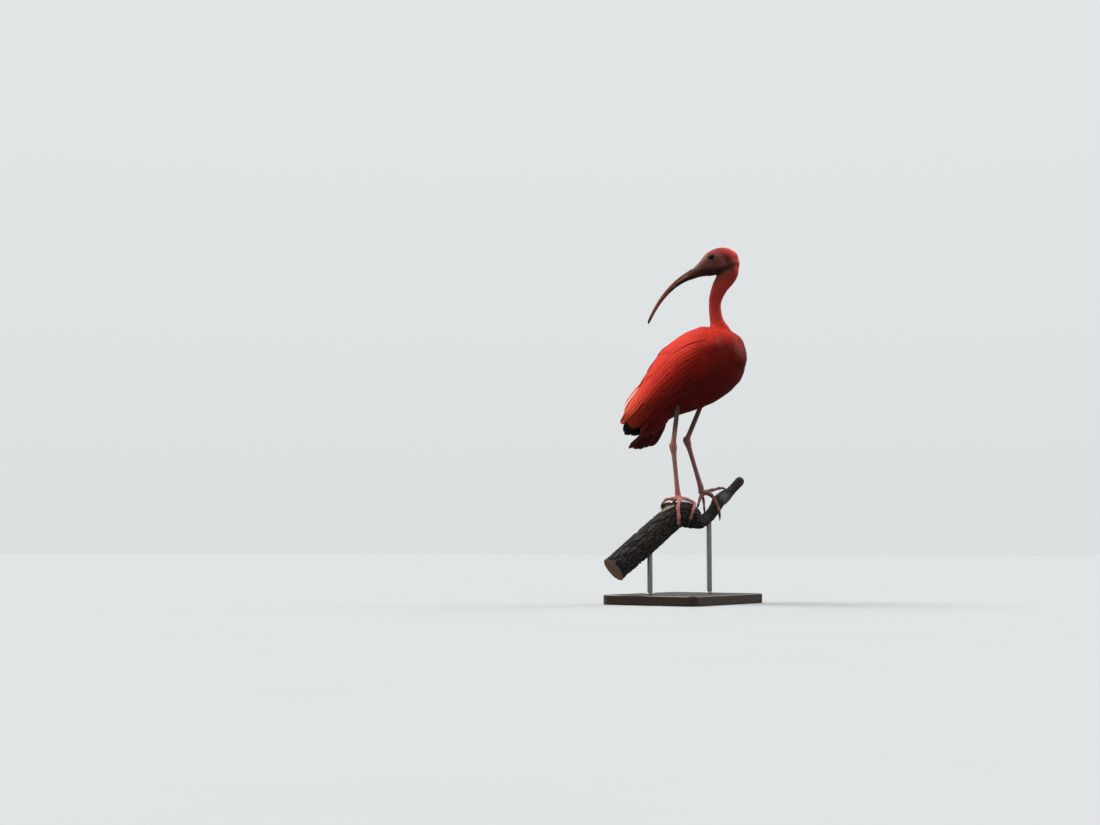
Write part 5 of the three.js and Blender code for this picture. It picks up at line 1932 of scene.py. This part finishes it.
def bevelled(work, edges, offset, segments):
    bmesh.ops.bevel(work, geom=edges, offset=offset, segments=segments, profile=0.5, affect="EDGES")


def climb(edge):
    return abs(edge.verts[0].co.z - edge.verts[1].co.z)


def makeBase():
    work = bmesh.new()
    bmesh.ops.create_cube(work, size=1)
    sides = [stand["length"], stand["width"], stand["thickness"]]
    for v in work.verts:
        v.co = Vector((v.co.x * sides[0], v.co.y * sides[1], (v.co.z + 0.5) * sides[2])) * 0.001
    upright = [e for e in work.edges if climb(e) > 1e-4]
    bevelled(work, upright, stand["corner"] * 0.001, 14)
    flat = [e for e in work.edges if climb(e) < 1e-6 and len(e.link_faces) == 2]
    flat = [e for e in flat if abs(e.link_faces[0].normal.z - e.link_faces[1].normal.z) > 0.5]
    bevelled(work, flat, stand["edge"] * 0.001, 3)
    return fromWork(work, "stand_board")


def makeRods():
    # Each rod stands in a collar on the board and ends inside the wood.
    tubes = []
    around = 56
    for rows, row in rods.values():
        under = smoothLine(rows)(row / (len(rows) - 1))[0]
        foot = stand["thickness"] - birdShift[2]
        collar, top, rod = stand["collar"], foot + stand["collarHigh"], stand["rod"]
        line = [
            (foot, collar - 0.6), (foot + 0.6, collar), (top - 0.8, collar), (top, collar - 0.8),
            (top, rod), (foot + 40, rod), (under[2], rod),
        ]
        turn = 2 * np.pi * np.arange(around) / around
        places = [
            (under[0] + r * math.cos(t), under[1] + r * math.sin(t), z) for z, r in line for t in turn
        ]
        tubes.append(facedOut(meshObject("rod", places, ringFaces(len(line), around))))
    return tubes


standColours = {
    "board": (0.060, 0.030, 0.016, 1), "growth": (0.022, 0.011, 0.007, 1), "pore": (0.010, 0.006, 0.004, 1),
    "steel": (0.46, 0.465, 0.47, 1), "steelLight": (0.60, 0.605, 0.61, 1),
}
boardPaint, shader = material(
    "stained board", {"Roughness": 0.35, "Coat Weight": 0.35, "Coat Roughness": 0.25}
)
place = objectPlace()
growth = noiseValue(stretched(place, (9.0, 1.0, 9.0)), 7.0, 4.0, 0.55)
pores = noiseValue(stretched(place, (60.0, 4.0, 60.0)), 14.0, 3.0, 0.6)
colour = mix(times(waves(growth, 58.0), 0.55), standColours["board"], standColours["growth"])
colour = mix(times(band(pores, 0.55, 0.75), 0.6), colour, standColours["pore"])
coloured(shader, colour, band(pores, 0.3, 0.8, 0.30, 0.46), pores, 0.15, 0.0004)

steelPaint, shader = material("brushed steel", {"Roughness": 0.3, "Metallic": 1.0})
brushed = noiseValue(stretched(objectPlace(), (1.0, 1.0, 40.0)), 60.0, 4.0, 0.6)
colour = mix(brushed, standColours["steel"], standColours["steelLight"])
coloured(shader, colour, band(brushed, 0.3, 0.7, 0.26, 0.42), brushed, 0.08, 0.0002)

board = makeBase()
board.data.materials.append(boardPaint)
finished(board, "stand_wood", "stand_base")
for rod, name in zip(makeRods(), rods):
    rod.name = name.replace("stand_rod", "stand_steel_rod")
    shadeSmooth(rod, False)
    rod.data.materials.append(steelPaint)
    finished(rod, "stand_steel", name)


finished(skin, "body_feathers", "torso", "neck_lower", "neck_upper", "head", "thigh_left", "thigh_right")
for name in ("lie", "length", "share"):
    skin.data.attributes.remove(skin.data.attributes[name])
